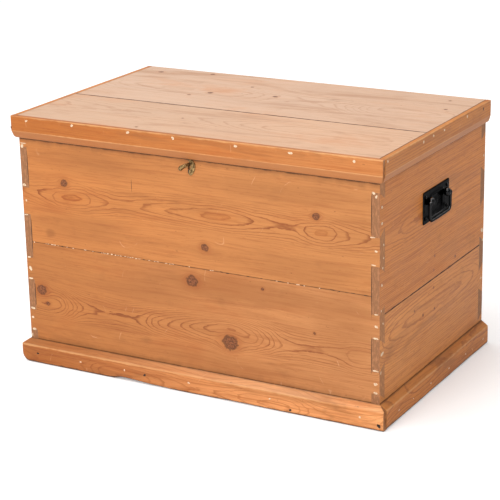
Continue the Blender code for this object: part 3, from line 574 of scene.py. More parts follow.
def softened(corners, cuts, steps=4):
    """An open outline with its inner corners rounded off, each cut back by its own length."""
    path = [Vector(corners[0])]
    for before, corner, after, cut in zip(corners, corners[1:], corners[2:], cuts):
        corner = Vector(corner)
        back_leg, next_leg = Vector(before) - corner, Vector(after) - corner
        start = corner + back_leg.normalized() * min(cut, back_leg.length * 0.45)
        stop = corner + next_leg.normalized() * min(cut, next_leg.length * 0.45)
        for step in range(steps + 1):
            t = step / steps
            path.append(start * (1 - t) ** 2 + corner * (2 * t * (1 - t)) + stop * t * t)
    path.append(Vector(corners[-1]))
    return path


def evenly_cut(section):
    """Adds points to a section's long outer side, the same number in every row."""
    tall = max(range(len(section) - 1), key=lambda i: (section[i + 1] - section[i]).length
               * (1.0 if section[i].x > 0.002 and section[i + 1].x > 0.002 else 0.0))
    first, second = section[tall], section[tall + 1]
    extra = [first.lerp(second, step / 7) for step in range(1, 7)]
    return section[:tall + 1] + extra + section[tall + 1:]


def pulled_back(away, radius):
    """How far a rounded edge stands back from its corner, away from that corner."""
    if away >= radius:
        return 0.0
    return radius - math.sqrt(radius * radius - (radius - away) ** 2)


END_STEPS = (0.0, 0.0003, 0.0009, 0.0018, 0.0032)


def strip(name, body, material, to_world, span, outline, cuts, seed, end_reach=None,
          wear=0.0004, foot=None, end_radius=0.0016, knocked=None):
    """A moulding run along s between span's ends, its section an (out, z) outline.

    to_world(s, out, z) places a point. cuts are how far the outline's inner corners are worn
    off, wear how far its outer sides are, and end_radius rounds its ends. end_reach(z) is how
    far a return carries the ends past the span. foot(s) lifts the lower edge where it is worn
    away, and knocked(z) draws the start end back.
    """
    start, stop = span
    count = int((stop - start) / 0.006)
    shares = [0.012 + 0.976 * i / count for i in range(count + 1)]
    rows = []
    top = max(z for _, z in outline)
    for index in range(2 * len(END_STEPS) + len(shares)):
        if index < len(END_STEPS):
            kind, amount = "start", END_STEPS[index]
        elif index < len(END_STEPS) + len(shares):
            kind, amount = "share", shares[index - len(END_STEPS)]
        else:
            kind, amount = "stop", END_STEPS[len(END_STEPS) * 2 + len(shares) - 1 - index]
        rough_s = {"start": start + amount, "stop": stop - amount,
                   "share": start + (stop - start) * amount}[kind]
        worn = [cut * (0.75 + 0.55 * wave(rough_s, 9.0, seed + n) + 0.35 *
                       max(0.0, wave(rough_s, 31.0, seed + n + 5.0)))
                for n, cut in enumerate(cuts)]
        section = evenly_cut(softened(outline, worn))
        lift = foot(rough_s) if foot else 0.0
        row = []
        for out, z in section:
            reach = end_reach(z) if end_reach else 0.0
            low, high = start - reach + (knocked(z) if knocked else 0.0), stop + reach
            s = {"start": low + amount, "stop": high - amount,
                 "share": low + (high - low) * amount}[kind]
            if out > 0.0:
                out -= pulled_back(min(s - low, high - s), end_radius)
                out -= wear * (1.0 + wave(s + z * 3.0, 26.0, seed + 9.0)) * 0.5
                out = max(out, 0.0002)
            z = z + lift * (1.0 - z / top) ** 3 if foot else z
            row.append(to_world(s, out, z))
        rows.append(row)
    wide = len(rows[0])
    points = [point for row in rows for point in row]
    faces = [(i * wide + j, (i + 1) * wide + j, (i + 1) * wide + (j + 1) % wide,
              i * wide + (j + 1) % wide)
             for i in range(len(rows) - 1) for j in range(wide)]
    faces += [tuple(range(wide)), tuple(range((len(rows) - 1) * wide, len(rows) * wide))]
    return make_piece(name + "_worn", points, faces, material, body, "waxed_pine", (name,))


def mouldings_and_plinth():
    """The lid's mouldings and the plinth, worn. Only the plinth has a worn foot."""
    sides = {"front": lambda inner: lambda s, out, z: (s, inner - out, z),
             "left": lambda inner: lambda s, out, z: (inner - out, s, z),
             "right": lambda inner: lambda s, out, z: (inner + out, s, z)}
    knocked = {"front": knocked_corner, "left": knocked_behind}
    for kind, body in (("lid_moulding", "lid"), ("plinth", "carcass")):
        side_low, side_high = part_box(f"{kind}_right")
        depth = side_high.x - side_low.x
        bottom, top = side_low.z, side_high.z
        if kind == "lid_moulding":
            outline = [(0.0, bottom), (depth * 0.35, bottom), (depth * 0.68, bottom + 0.0036),
                       (depth, bottom + MOULDING_BEVEL), (depth, top), (0.0, top)]
            cuts, foot = (0.0030, 0.0050, 0.0014, 0.0019), None
        else:
            outline = [(0.0, 0.0), (depth, 0.0), (depth, top - PLINTH_BEVEL), (LIP, top),
                       (0.0, top)]
            cuts, foot = (0.0040, 0.0024, 0.0006), worn_foot

        def end_reach(z, outline=outline, depth=depth, bottom=bottom, top=top, kind=kind):
            """How far the side moulding stands out at a height, for the front's returns."""
            if kind == "plinth":
                share = min(1.0, max(0.0, (top - z) / PLINTH_BEVEL))
                return LIP + (depth - LIP) * share
            return section_reach(outline, z)

        for number, side in enumerate(("front", "left", "right")):
            low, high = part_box(f"{kind}_{side}")
            inner = {"front": high.y, "left": high.x, "right": low.x}[side]
            front = side == "front"
            span = (-side_low.x, side_low.x) if front else (low.y, high.y)
            material = FRONT_TRIM[kind] if front else SIDE_TRIM[kind]
            strip(f"{kind}_{side}", body, material, sides[side](inner), span, outline, cuts,
                  seed=number + (20.0 if kind == "plinth" else 3.0),
                  end_reach=end_reach if front else None,
                  foot=(lambda s: worn_foot(s, True)) if front and foot else foot,
                  knocked=knocked.get(side) if foot else None,
                  end_radius=0.0035 if foot and front else 0.0016)


def section_reach(outline, z):
    """How far an outline's outer side stands out at a height."""
    outer = outline[1:-1]
    for (first_out, first_z), (next_out, next_z) in zip(outer, outer[1:]):
        if first_z <= z <= next_z and next_z > first_z:
            return first_out + (next_out - first_out) * (z - first_z) / (next_z - first_z)
    return outer[0][0] if z < outer[0][1] else outer[-1][0]


def worn_foot(s, front=False):
    """The plinth's lower edge, lifted where years of dragging have worn it away."""
    lift = 0.0004 + 0.0006 * wave(s, 7.0, 31.0) + 0.0008 * max(0.0, wave(s, 24.0, 37.0))
    if front:
        rise = min(1.0, max(0.0, (s + 0.212) / 0.018))
        lift += 0.0052 * rise * math.exp(-(max(0.0, s + 0.185) / 0.075) ** 2)
        lift += 0.0012 * math.exp(-((s - 0.10) / 0.05) ** 2)
    return max(0.0, lift)


def knocked_corner(z):
    """How far the front plinth's left foot is worn back at a height."""
    return pulled_back(max(z, 0.0), 0.020)


def knocked_behind(z):
    """How far the left plinth is worn back behind that foot."""
    return max(0.0, 1.9 * knocked_corner(z) - 0.017)


# --- Putty, nails, dirt and painted shadow lines --------------------------------------------

def blob(points, faces, centre, across, up, width, height, draw, proud=0.0003, sides=11):
    """Adds a small ragged disc, domed a little, that lies on a face."""
    out = across.cross(up)
    base = len(points)
    turn = draw.uniform(0.0, math.tau)
    rims = []
    for ring, (share, rise) in enumerate(((1.0, 0.0), (0.72, 0.8))):
        for side in range(sides):
            angle = math.tau * side / sides
            ragged = 1.0 + 0.22 * math.sin(2 * angle + turn) + draw.uniform(-0.16, 0.16)
            if ring:
                ragged = 0.5 * (ragged + rims[side])
            else:
                rims.append(ragged)
            points.append(centre + across * (width / 2 * share * ragged * math.cos(angle))
                          + up * (height / 2 * share * ragged * math.sin(angle))
                          + out * proud * rise)
    points.append(centre + out * proud)
    for side in range(sides):
        after = (side + 1) % sides
        faces.append((base + side, base + after, base + sides + after, base + sides + side))
        faces.append((base + sides + side, base + sides + after, base + 2 * sides))


def blobs(name, face, level, marks, seed, proud=0.0003):
    """Many blobs on one face, as one piece; each mark is (across, up, width, height)."""
    material, slot = {"putty": (PUTTY, "waxed_pine"), "dirt": (DIRT_AND_SHADOW, "waxed_pine"),
                      "nails": (NAIL, "dull_steel")}[name.split("_")[0]]
    body = "lid" if "_lid" in name else "carcass"
    draw = random.Random(seed)
    sign, flat = 1 if face in ("front", "right") else -1, face in ("front", "back")
    across = Vector((sign, 0, 0)) if flat else Vector((0, sign, 0))
    points, faces = [], []
    for s, z, width, height in marks:
        centre = Vector((s, level, z) if flat else (level, s, z))
        blob(points, faces, centre, across, Vector((0, 0, 1)), width, height, draw, proud)
    return make_piece(name, points, faces, material, body, slot, sharp=60.0)


def dashes(draw, start, stop, level, chance, longest, thick):
    """Broken filler along a joint."""
    marks = []
    place = start
    while place < stop:
        length = draw.uniform(0.002, longest)
        if draw.random() < chance(place):
            marks.append((place + length / 2, level + draw.uniform(-0.0006, 0.0006), length,
                          thick * draw.uniform(0.6, 1.3)))
        place += length * draw.uniform(0.8, 1.5) + 0.0008
    return marks


def fillers():
    """Putty and dirt on the boards, along the open joint and about the dovetails, and painted
    shadow at the pins' edges and in the joint.
    """
    draw = random.Random(41)
    marks = dashes(draw, -0.418, 0.418, FACE_JOINT_Z,
                   lambda s: 0.97 if -0.245 < s < -0.134 else 0.45 if s < 0.05 else 0.22,
                   0.009, 0.0022)
    marks += [(-0.434, 0.507, 0.010, 0.010), (-0.430, 0.5135, 0.016, 0.0035),
              (-0.434, 0.4175, 0.012, 0.0065), (-0.431, 0.3820, 0.006, 0.005),
              (-0.434, 0.3480, 0.012, 0.0035), (-0.433, 0.2480, 0.010, 0.005),
              (-0.4310, 0.2215, 0.011, 0.012), (-0.431, 0.1975, 0.018, 0.0045),
              (-0.431, 0.1260, 0.016, 0.0060), (-0.433, 0.1035, 0.007, 0.009),
              (-0.431, 0.0745, 0.014, 0.0060), (-0.437, 0.060, 0.005, 0.010),
              (0.424, 0.4115, 0.012, 0.0035), (0.432, 0.3830, 0.0065, 0.0065),
              (0.426, 0.3530, 0.014, 0.0030), (0.4320, 0.2480, 0.009, 0.004),
              (0.4325, 0.2220, 0.0080, 0.0080), (0.431, 0.1960, 0.019, 0.0045),
              (0.431, 0.1250, 0.014, 0.0050), (0.4310, 0.0960, 0.0085, 0.0095),
              (0.431, 0.0760, 0.014, 0.0050), (0.426, 0.504, 0.010, 0.006),
              (0.432, 0.497, 0.006, 0.008)]
    marks = [(s, z, width * 0.85, height * 0.80) for s, z, width, height in marks]
    blobs("putty_front", "front", FRONT_Y - FILLER_LIFT, marks, 42)
    # Painted shadow: dark dashes at the pins' edges and along the open joint, with a crack and a
    # mark.
    shadows = [(0.4215 * side, (low + high) / 2, 0.0016, high - low) for side in (-1, 1)
               for low, high in ((0.4120, 0.5050), (0.2475, 0.3500), (0.1225, 0.1950))]
    shadows += dashes(random.Random(43), -0.42, 0.42, FACE_JOINT_Z, lambda s: 0.35, 0.016,
                      0.0014)
    shadows += [(-0.148, 0.451, 0.0012, 0.028), (-0.002, 0.4990, 0.0045, 0.012)]
    blobs("dirt_front", "front", FRONT_Y - FILLER_LIFT / 2, shadows, 44, proud=0.0001)
    marks = [(FRONT_Y + inset, z, width, height) for inset, z, width, height in (
        (0.010, 0.474, 0.006, 0.008), (0.010, 0.440, 0.006, 0.007),
        (0.018, 0.393, 0.005, 0.005), (0.018, 0.365, 0.004, 0.006),
        (0.014, 0.345, 0.005, 0.004), (0.010, 0.309, 0.007, 0.006),
        (0.012, 0.160, 0.016, 0.007), (0.006, 0.120, 0.004, 0.007),
        (0.016, 0.225, 0.004, 0.005), (0.007, 0.255, 0.004, 0.006))]
    marks += [(BACK_Y - inset, z, width, height) for inset, z, width, height in (
        (0.009, 0.274, 0.014, 0.009), (0.006, 0.250, 0.006, 0.006),
        (0.010, 0.159, 0.008, 0.005), (0.008, 0.450, 0.005, 0.006))]
    blobs("putty_right_end", "right", HALF_WIDTH + FILLER_LIFT, marks, 45)
    draw = random.Random(46)
    marks = [(edge + toward * draw.uniform(0.007, 0.016), z + draw.uniform(-0.01, 0.01),
              draw.uniform(0.004, 0.010), draw.uniform(0.004, 0.009))
             for edge, toward in ((FRONT_Y, 1), (BACK_Y, -1))
             for z in (0.10, 0.16, 0.22, 0.31, 0.38, 0.45)]
    blobs("putty_left_end", "left", -HALF_WIDTH - FILLER_LIFT, marks, 47)
    marks = dashes(random.Random(48), -0.418, 0.418, FACE_JOINT_Z, lambda s: 0.4, 0.010, 0.0024)
    marks += [(side * draw.uniform(0.426, 0.434), z, draw.uniform(0.006, 0.015), 0.0045)
              for side in (-1, 1) for z in (0.074, 0.123, 0.196, 0.248, 0.350, 0.412, 0.505)]
    blobs("putty_back", "back", BACK_Y + FILLER_LIFT, marks, 49)


def fill_trim():
    """Filled and bare nail heads along the mouldings and the plinth."""
    lid_y, plinth_y = MOULDING_LOW.y + STRIP_INSET, PLINTH_LOW.y + STRIP_INSET
    lid_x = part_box("lid_moulding_right")[1].x - STRIP_INSET
    plinth_x = PLINTH_HIGH.x - STRIP_INSET
    draw = random.Random(51)
    rows = (("lid_front", "front", lid_y, 0.5695, 0.0078, 0.0006,
             (-0.409, -0.288, -0.144, -0.032, 0.119, 0.246, 0.389)),
            ("lid_right", "right", lid_x, 0.5685, 0.0070, 0.0006,
             (-0.255, -0.081, -0.030, 0.027, 0.152)),
            ("lid_left", "left", -lid_x, 0.5685, 0.0070, 0.0006,
             (-0.24, -0.11, 0.03, 0.17, 0.26)),
            ("plinth_front", "front", plinth_y, 0.0235, 0.0058, 0.0003,
             (-0.295, -0.177, -0.010, 0.191, 0.403)),
            ("plinth_right", "right", plinth_x, 0.0190, 0.0060, 0.0003,
             (-0.205, -0.133, -0.040, 0.060, 0.156, 0.260)))
    for seed, (name, face, level, height, size, proud, places) in enumerate(rows, 52):
        marks = [(s, height + draw.uniform(-0.0015, 0.0015), size * draw.uniform(0.85, 1.25),
                  size * draw.uniform(0.60, 0.90)) for s in places]
        blobs(f"putty_{name}", face, level, marks, seed, proud)
    head_proud = 0.0005
    blobs("nails_lid", "right", lid_x, [(0.245, 0.5665, 0.0055, 0.0085)], 57, head_proud)
    blobs("nails_lid_front", "front", lid_y, [(-0.4515, 0.5500, 0.0035, 0.0050)], 58,
          head_proud)
    blobs("nails_plinth", "front", plinth_y,
          [(-0.413, 0.0235, 0.0060, 0.0060), (-0.124, 0.0220, 0.0065, 0.0070),
           (0.240, 0.0080, 0.0070, 0.0060), (0.4460, 0.0120, 0.0090, 0.0095)], 59, head_proud)


# --- Handles --------------------------------------------------------------------------------

def tube_faces(rows, sides, closed=False):
    """Faces round rows of points: a ring when closed, else a tube with capped ends."""
    faces = []
    for row in range(rows if closed else rows - 1):
        here, ahead = row * sides, (row + 1) % rows * sides
        for side in range(sides):
            after = (side + 1) % sides
            faces.append((here + side, here + after, ahead + after, ahead + side))
    if not closed:
        faces += [tuple(range(sides)), tuple(range((rows - 1) * sides, rows * sides))]
    return faces


def sweep(path, radii, sides=14):
    """Tube along a path of points, with a radius at each."""
    points = []
    before = None
    for index, (here, radius) in enumerate(zip(path, radii)):
        ahead = path[min(index + 1, len(path) - 1)] - path[max(index - 1, 0)]
        ahead.normalize()
        if before is None:
            before = ahead.orthogonal().normalized()
        before = (before - ahead * before.dot(ahead)).normalized()
        other = ahead.cross(before)
        for side in range(sides):
            angle = math.tau * side / sides
            points.append(here + before * (radius * math.cos(angle))
                          + other * (radius * math.sin(angle)))
    return points, tube_faces(len(path), sides)


def smooth_path(corners, cuts, pitch):
    """Rounded polyline sampled evenly, for a bent bar."""
    path = [Vector((*point, 0.0)) for point in softened(corners, cuts, steps=10)]
    samples = []
    for first, second in zip(path, path[1:]):
        pieces = max(1, int((second - first).length / pitch))
        samples += [first.lerp(second, step / pieces) for step in range(pieces)]
    return samples + [path[-1]]


def cast_plate(to_world, low, high):
    """Cast back plate: flat border, raised lip and a dished middle with a low dome."""
    half_wide, half_tall = (high[0] - low[0]) / 2, (high[1] - low[1]) / 2
    middle_s, middle_z = (high[0] + low[0]) / 2, (high[1] + low[1]) / 2
    across, tall = 96, 56
    points, faces = [], []

    def dish(s, z):
        """Signed distance to the dish's rounded edge, negative inside."""
        wide, high_, corner = 0.040, 0.0225, 0.014
        dx, dz = abs(s) - (wide - corner), abs(z + 0.001) - (high_ - corner)
        outside = math.hypot(max(dx, 0.0), max(dz, 0.0))
        return outside + min(max(dx, dz), 0.0) - corner

    def height(s, z):
        edge = min(half_wide - abs(s), half_tall - abs(z))
        flat = 0.0022 - pulled_back(max(edge, 0.0), 0.0012)
        d = dish(s, z)
        lip = 0.0030 * math.exp(-(d / 0.0024) ** 2)
        sunk = 0.0013 * min(1.0, max(0.0, -d / 0.004))
        crown = 0.0022 * math.exp(-((s / 0.013) ** 2 + ((z - 0.001) / 0.008) ** 2))
        return max(0.0004, flat + lip - sunk + crown)

    for row in range(tall + 1):
        for column in range(across + 1):
            s, z = (2 * column / across - 1) * half_wide, (2 * row / tall - 1) * half_tall
            corner = 0.005
            over_s, over_z = abs(s) - (half_wide - corner), abs(z) - (half_tall - corner)
            if over_s > 0 and over_z > 0 and math.hypot(over_s, over_z) > corner:
                shrink = corner / math.hypot(over_s, over_z)
                s = math.copysign(half_wide - corner + over_s * shrink, s)
                z = math.copysign(half_tall - corner + over_z * shrink, z)
            points.append(to_world(middle_s + s, height(s, z), middle_z + z))
    wide = across + 1
    for row in range(tall):
        for column in range(across):
            first = row * wide + column
            faces.append((first, first + 1, first + wide + 1, first + wide))
    rim = ([column for column in range(wide)]
           + [row * wide + across for row in range(1, tall + 1)]
           + [tall * wide + column for column in range(across - 1, -1, -1)]
           + [row * wide for row in range(tall - 1, 0, -1)])
    base = len(points)
    wood = to_world(0.0, 0.0, 0.0).x
    points += [Vector((wood, points[index].y, points[index].z)) for index in rim]
    for k in range(len(rim)):
        after = (k + 1) % len(rim)
        faces.append((rim[k], rim[after], base + after, base + k))
    return points, faces


def cast_lugs(to_world, centres, pivot_z, pivot_out):
    """Two round knobs that the bail hangs from, each with a broad foot on the plate."""
    points, faces = [], []
    for centre in centres:
        path = [Vector((0.0078 * math.sin(angle), 0.0, 0.0)) for angle in
                (math.pi * (step / 14 - 0.5) for step in range(15))]
        radii = [0.0004 + 0.0052 * math.sqrt(max(0.0, 1.0 - (point.x / 0.0078) ** 2))
                 for point in path]
        ring_points, ring_faces = sweep(path, radii, 22)
        start = len(points)
        for point in ring_points:
            root = point.y < 0.0
            points.append(to_world(
                centre + point.x * (1.12 if root else 1.0),
                max(0.0004, pivot_out + point.y * (pivot_out / 0.0056 if root else 1.0)),
                pivot_z + point.z * (1.75 if root else 1.62)))
        faces += [tuple(start + corner for corner in face) for face in ring_faces]
    return points, faces


def handles():
    """Each end's cast plate, its two lugs and its bail, which is thickest in the grip."""
    lug_radius, bail_radius = 0.006, 0.004          # of the CAD nodes
    lug_from_middle, bar_radius, neck_radius, neck_half = 0.042, 0.0034, 0.0029, 0.0475
    for name, side in (("left", -1), ("right", 1)):
        node_low, node_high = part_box(f"handle_{name}_plate")
        bail_low, bail_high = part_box(f"handle_{name}_bail")
        face = side * HALF_WIDTH + side * 0.0003
        pivot_out = max(abs(node_low.x), abs(node_high.x)) - abs(face) - lug_radius
        pivot_z = bail_high.z - bail_radius

        def to_world(s, out, z, face=face, side=side):
            return Vector((face + side * out, s, z))

        points, faces = cast_plate(to_world, (node_low.y, node_low.z),
                                   (node_high.y, node_high.z))
        make_piece(f"handle_{name}_casting", points, faces, IRON, "carcass", "japanned_iron",
                   (f"handle_{name}_plate",), sharp=55.0)
        points, faces = cast_lugs(to_world, (CENTRE_Y - lug_from_middle,
                                             CENTRE_Y + lug_from_middle), pivot_z, pivot_out)
        make_piece(f"handle_{name}_lugs", points, faces, WORN_HIGHLIT_IRON, "carcass",
                   "japanned_iron", sharp=70.0)
        half = (bail_high.y - bail_low.y) / 2 - bail_radius
        drop = bail_low.z + bail_radius - pivot_z
        corners = [(-0.0355, 0.0), (-half, 0.0), (-half, drop), (half, drop), (half, 0.0),
                   (0.0355, 0.0)]
        bar, radii = [], []
        for point in smooth_path(corners, (0.008, 0.013, 0.013, 0.008), 0.0022):
            neck = abs(point.x) < neck_half and point.y > -0.006
            grip = 1.0 - min(1.0, abs(point.x) / half) ** 2 if point.y < -0.03 else 0.0
            from_elbow = math.hypot(abs(point.x) - half + 0.002, point.y + 0.002)
            knob = 0.0017 * math.exp(-(from_elbow / 0.0042) ** 2)
            radii.append((neck_radius if neck else bar_radius + 0.0004 * grip) + knob)
            bar.append(Vector((face + side * pivot_out, CENTRE_Y + point.x, pivot_z + point.y)))
        points, faces = sweep(bar, radii, 16)
        make_piece(f"handle_{name}_bar", points, faces, WORN_HIGHLIT_IRON, f"bail_{name}",
                   "japanned_iron", (f"handle_{name}_bail",), sharp=60.0)
        for number in range(1, 5):
            dress(f"handle_{name}_screw_{number}", WORN_HIGHLIT_IRON, 0.0)


def key_bow():
    """The rounded oval ring of the key's bow, tilted about its shank and a little arched."""
    tilt, half_wide, half_deep, arch = math.radians(36), 0.0088, 0.0068, 0.0020
    thick, tall, count, sides = 0.0028, 0.0038, 40, 12
    pin_low, pin_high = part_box("cover_pin")
    shank = Vector((-0.002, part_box("key")[0].y + 0.0100, (pin_low.z + pin_high.z) / 2 - 0.0087))
    across = Vector((-math.cos(tilt), 0.0, -math.sin(tilt)))
    normal = across.cross(Vector((0.0, 1.0, 0.0)))
    bend = normal if normal.z > 0.0 else -normal
    points = []
    for index in range(count):
        angle = math.tau * index / count
        flat = (across * (half_wide * math.cos(angle))
                + Vector((0.0, half_deep * math.sin(angle), 0.0)))
        outward = flat.normalized()
        spot = shank + flat + bend * (arch * (1.0 - math.cos(angle) ** 2) - 0.0004)
        for side in range(sides):
            turn = math.tau * side / sides
            points.append(spot + outward * (thick * math.cos(turn))
                          + normal * (tall * math.sin(turn)))
    make_piece("key_bow_ring", points, tube_faces(count, sides, closed=True), BRASS, "lock_key",
               "aged_brass", sharp=80.0)


# --- Materials and assembly -----------------------------------------------------------------

add_camera()
add_studio()
add_floor()

# The rubbed copy reflects more and greys its upward faces: painted highlights, with wear, on the
# lugs, bail and screws.
IRON = iron("japanned_iron_gloss", 0.010, 0.10)
WORN_HIGHLIT_IRON = iron("japanned_iron_rubbed_highlit", 0.019, 0.80)
BRASS = old_metal("brown_brass", 300.0, (0.35, 0.68), ((0.085, 0.048, 0.016), (0.46, 0.29, 0.12)),
                  (0.30, 0.75, 0.58, 0.34), 0.85, 0.0003)
STEEL = steel("rusted_steel")
NAIL = steel("nail_heads", (0.050, 0.035, 0.028), (0.030, 0.014, 0.008))
PUTTY = putty("chalk_putty")
DIRT_AND_SHADOW = dirt("joint_dirt_and_shadow")

# Dark lines on the front: the board joint and the plinth's top edge, a soft darkening above the
# plinth, and painted shade under the lid's moulding, a crisp line and a soft band.
FRONT_SEAMS = (("z", FACE_JOINT_Z, 0.0017, 0.65), ("z", PLINTH_TOP, 0.0028, 0.75),
               ("z", PLINTH_TOP, 0.0140, 0.22), ("z", MOULDING_BOTTOM - 0.0008, 0.0042, 0.92),
               ("z", MOULDING_BOTTOM, 0.0160, 0.22))
# On the ends: the board joint and the plinth's top edge, and painted shade under the lid's
# moulding, a line and a soft band.
END_SEAMS = (("z", END_JOINT_Z, 0.0024, 0.95), ("z", PLINTH_TOP, 0.0030, 0.7),
             ("z", MOULDING_BOTTOM - 0.0008, 0.0036, 0.7), ("z", MOULDING_BOTTOM, 0.014, 0.20))
UPPER_PITH = ((-0.440, 0.0475), (-0.400, 0.0448), (-0.360, 0.0421), (-0.307, 0.0386),
              (-0.253, 0.0421), (-0.214, 0.0448), (-0.175, 0.0468), (-0.132, 0.0451),
              (-0.062, 0.0422), (0.029, 0.0393), (0.068, 0.0383), (0.107, 0.0394),
              (0.180, 0.0432), (0.230, 0.0442), (0.262, 0.0422), (0.290, 0.0394),
              (0.308, 0.0386), (0.327, 0.0394), (0.347, 0.0422), (0.440, 0.0490))
LOWER_PITH = ((-0.440, 0.0470), (-0.390, 0.0430), (-0.330, 0.0505), (-0.260, 0.0590),
              (-0.180, 0.0600), (-0.100, 0.0535), (-0.050, 0.0490), (0.050, 0.0418),
              (0.082, 0.0408), (0.115, 0.0418), (0.180, 0.0495), (0.260, 0.0570),
              (0.350, 0.0560), (0.400, 0.0530), (0.440, 0.0560))
FRONT_ENDS = (0.405, 0.172, 0.066)
END_TONES = {"early": (0.545, 0.184, 0.030), "late": (0.270, 0.066, 0.009), "wobble": 0.30}


def mirrored(pith):
    return tuple((-place, depth) for place, depth in reversed(pith))


FACE, END = ("x", "z", "y"), ("y", "z", "x")          # along, across and depth of the boards
FRONT = {"seams": FRONT_SEAMS, "inside": ("y", 1.0), "end_tone": FRONT_ENDS, "brush": 0.9,
         "wear": 1.3}
BACK = {"seams": FRONT_SEAMS, "inside": ("y", -1.0), "figure": 0.05}
RIGHT = {"seams": END_SEAMS, "inside": ("x", -1.0), "brush": 1.3, **END_TONES}
LEFT = {"seams": END_SEAMS, "inside": ("x", 1.0), "figure": 0.08, "quiet": 0.6, "contrast": 0.75}
LID_SEAMS = (("y", LID_JOINT_Y, 0.0038, 0.92), ("x", HALF_WIDTH + 0.0005, 0.0026, 0.85),
             ("x", -HALF_WIDTH - 0.0005, 0.0018, 0.45), ("y", FRONT_Y - 0.0008, 0.0014, 0.35))
# The lid's paler, greyer colours stand for sun-faded pine and for painted sheen of the light on
# its top.
LID = {"seams": LID_SEAMS, "inside": ("z", -1.0), "early": (0.590, 0.358, 0.224),
       "late": (0.400, 0.182, 0.086), "smear": (0.440, 0.236, 0.134), "contrast": 0.60,
       "roughness": 0.42, "drift": 0.60, "brush": 0.85, "quiet": 0.4, "spacing": 0.0065}
BOARDS = {
    "front_board_upper": pine(
        "pine_front_upper", *FACE, axis=0.407, spacing=0.0028, seed=1.0, pith=UPPER_PITH,
        figure=0.026, quiet=0.10, heart=0.0398, fade=((0.97, 0.98, 1.00), (0.95, 1.05, 1.27)),
        knots=((-0.3255, 0.4340, 0.0075), (0.2970, 0.4390, 0.0068), (0.0315, 0.3350, 0.0075)),
        # The two long smudges at heights 0.49 and 0.48 are painted shade under the moulding.
        smudges=((-0.370, 0.313, 0.014, 0.010, 0.60), (-0.25, 0.490, 0.20, 0.030, 0.35),
                 (0.22, 0.480, 0.20, 0.025, 0.30), (-0.30, 0.335, 0.14, 0.035, 0.35),
                 (0.25, 0.320, 0.18, 0.030, 0.32)), **FRONT),
    "front_board_lower": pine(
        "pine_front_lower", *FACE, axis=0.148, spacing=0.0024, seed=2.0, pith=LOWER_PITH,
        figure=0.030, quiet=0.12, fade=((0.85, 0.85, 0.84), (0.99, 1.14, 1.58)),
        knots=((-0.003, 0.2555, 0.0115), (-0.4030, 0.1740, 0.0105), (0.0880, 0.1290, 0.0148),
               (-0.388, 0.143, 0.0040), (0.170, 0.263, 0.0030), (0.291, 0.184, 0.0025)),
        smudges=((0.16, 0.250, 0.30, 0.030, 0.50), (-0.12, 0.210, 0.16, 0.025, 0.35),
                 (0.05, 0.075, 0.30, 0.025, 0.30), (0.36, 0.200, 0.08, 0.10, 0.30)), **FRONT),
    "back_board_upper": pine(
        "pine_back_upper", *FACE, axis=0.420, spacing=0.0055, seed=21.0,
        pith=mirrored(UPPER_PITH), knots=((0.21, 0.372, 0.009), (-0.13, 0.47, 0.007)), **BACK),
    "back_board_lower": pine(
        "pine_back_lower", *FACE, axis=0.165, spacing=0.0042, seed=22.0,
        pith=mirrored(LOWER_PITH), knots=((-0.22, 0.118, 0.011), (0.30, 0.22, 0.008)), **BACK),
    "right_end_board_upper": pine(
        "pine_end_upper", *END, axis=0.402, spacing=0.0040, seed=3.0,
        pith=((-0.27, 0.0500), (-0.17, 0.0475), (-0.12, 0.0440), (0.10, 0.0425), (0.29, 0.0410)),
        figure=0.20, quiet=0.75, contrast=0.72,
        knots=((0.011, 0.293, 0.0022), (0.007, 0.262, 0.0020), (0.125, 0.258, 0.003)), **RIGHT),
    "right_end_board_lower": pine(
        "pine_end_lower", *END, axis=0.185, spacing=0.0040, seed=4.0,
        pith=((-0.27, 0.076), (0.0, 0.062), (0.29, 0.078)), figure=0.08, quiet=0.6,
        contrast=0.75, fade=((1.12, 1.28, 1.80), (1.02, 1.08, 1.32)),
        knots=((-0.093, 0.200, 0.0022), (-0.048, 0.176, 0.0028), (0.013, 0.172, 0.0022),
               (0.007, 0.222, 0.0018)), **RIGHT),
    "left_end_board_upper": pine(
        "pine_left_upper", *END, axis=0.370, spacing=0.0050, seed=23.0,
        pith=((-0.27, 0.085), (0.04, 0.052), (0.29, 0.070)),
        knots=((-0.14, 0.45, 0.006), (0.17, 0.31, 0.008)), **LEFT),
    "left_end_board_lower": pine(
        "pine_left_lower", *END, axis=0.130, spacing=0.0050, seed=24.0,
        pith=((-0.27, 0.060), (0.08, 0.082), (0.29, 0.062)), knots=((0.05, 0.16, 0.009),),
        **LEFT),
    "lid_board_front": pine(
        "pine_lid_front", "x", "y", "z", axis=-0.13, seed=5.0, figure=0.05,
        pith=((-0.45, 0.070), (-0.1, 0.085), (0.2, 0.060), (0.45, 0.075)),
        fade=((0.92, 0.96, 1.00), EVEN),
        knots=((-0.14, -0.250, 0.0030), (-0.09, -0.142, 0.0022)), **LID),
    "lid_board_back": pine(
        "pine_lid_back", "x", "y", "z", axis=0.11, seed=25.0, figure=0.07,
        pith=((-0.45, 0.085), (-0.16, 0.064), (0.1, 0.090), (0.31, 0.048), (0.45, 0.070)),
        fade=((0.98, 1.06, 1.17), (0.98, 1.02, 1.08)),
        knots=((-0.255, 0.269, 0.0050), (-0.100, 0.186, 0.0032), (-0.160, 0.095, 0.0055),
               (-0.005, 0.122, 0.0050), (-0.385, 0.242, 0.0055), (0.372, 0.245, 0.0030),
               (-0.195, 0.058, 0.0035), (0.395, 0.165, 0.0035)), **LID)}


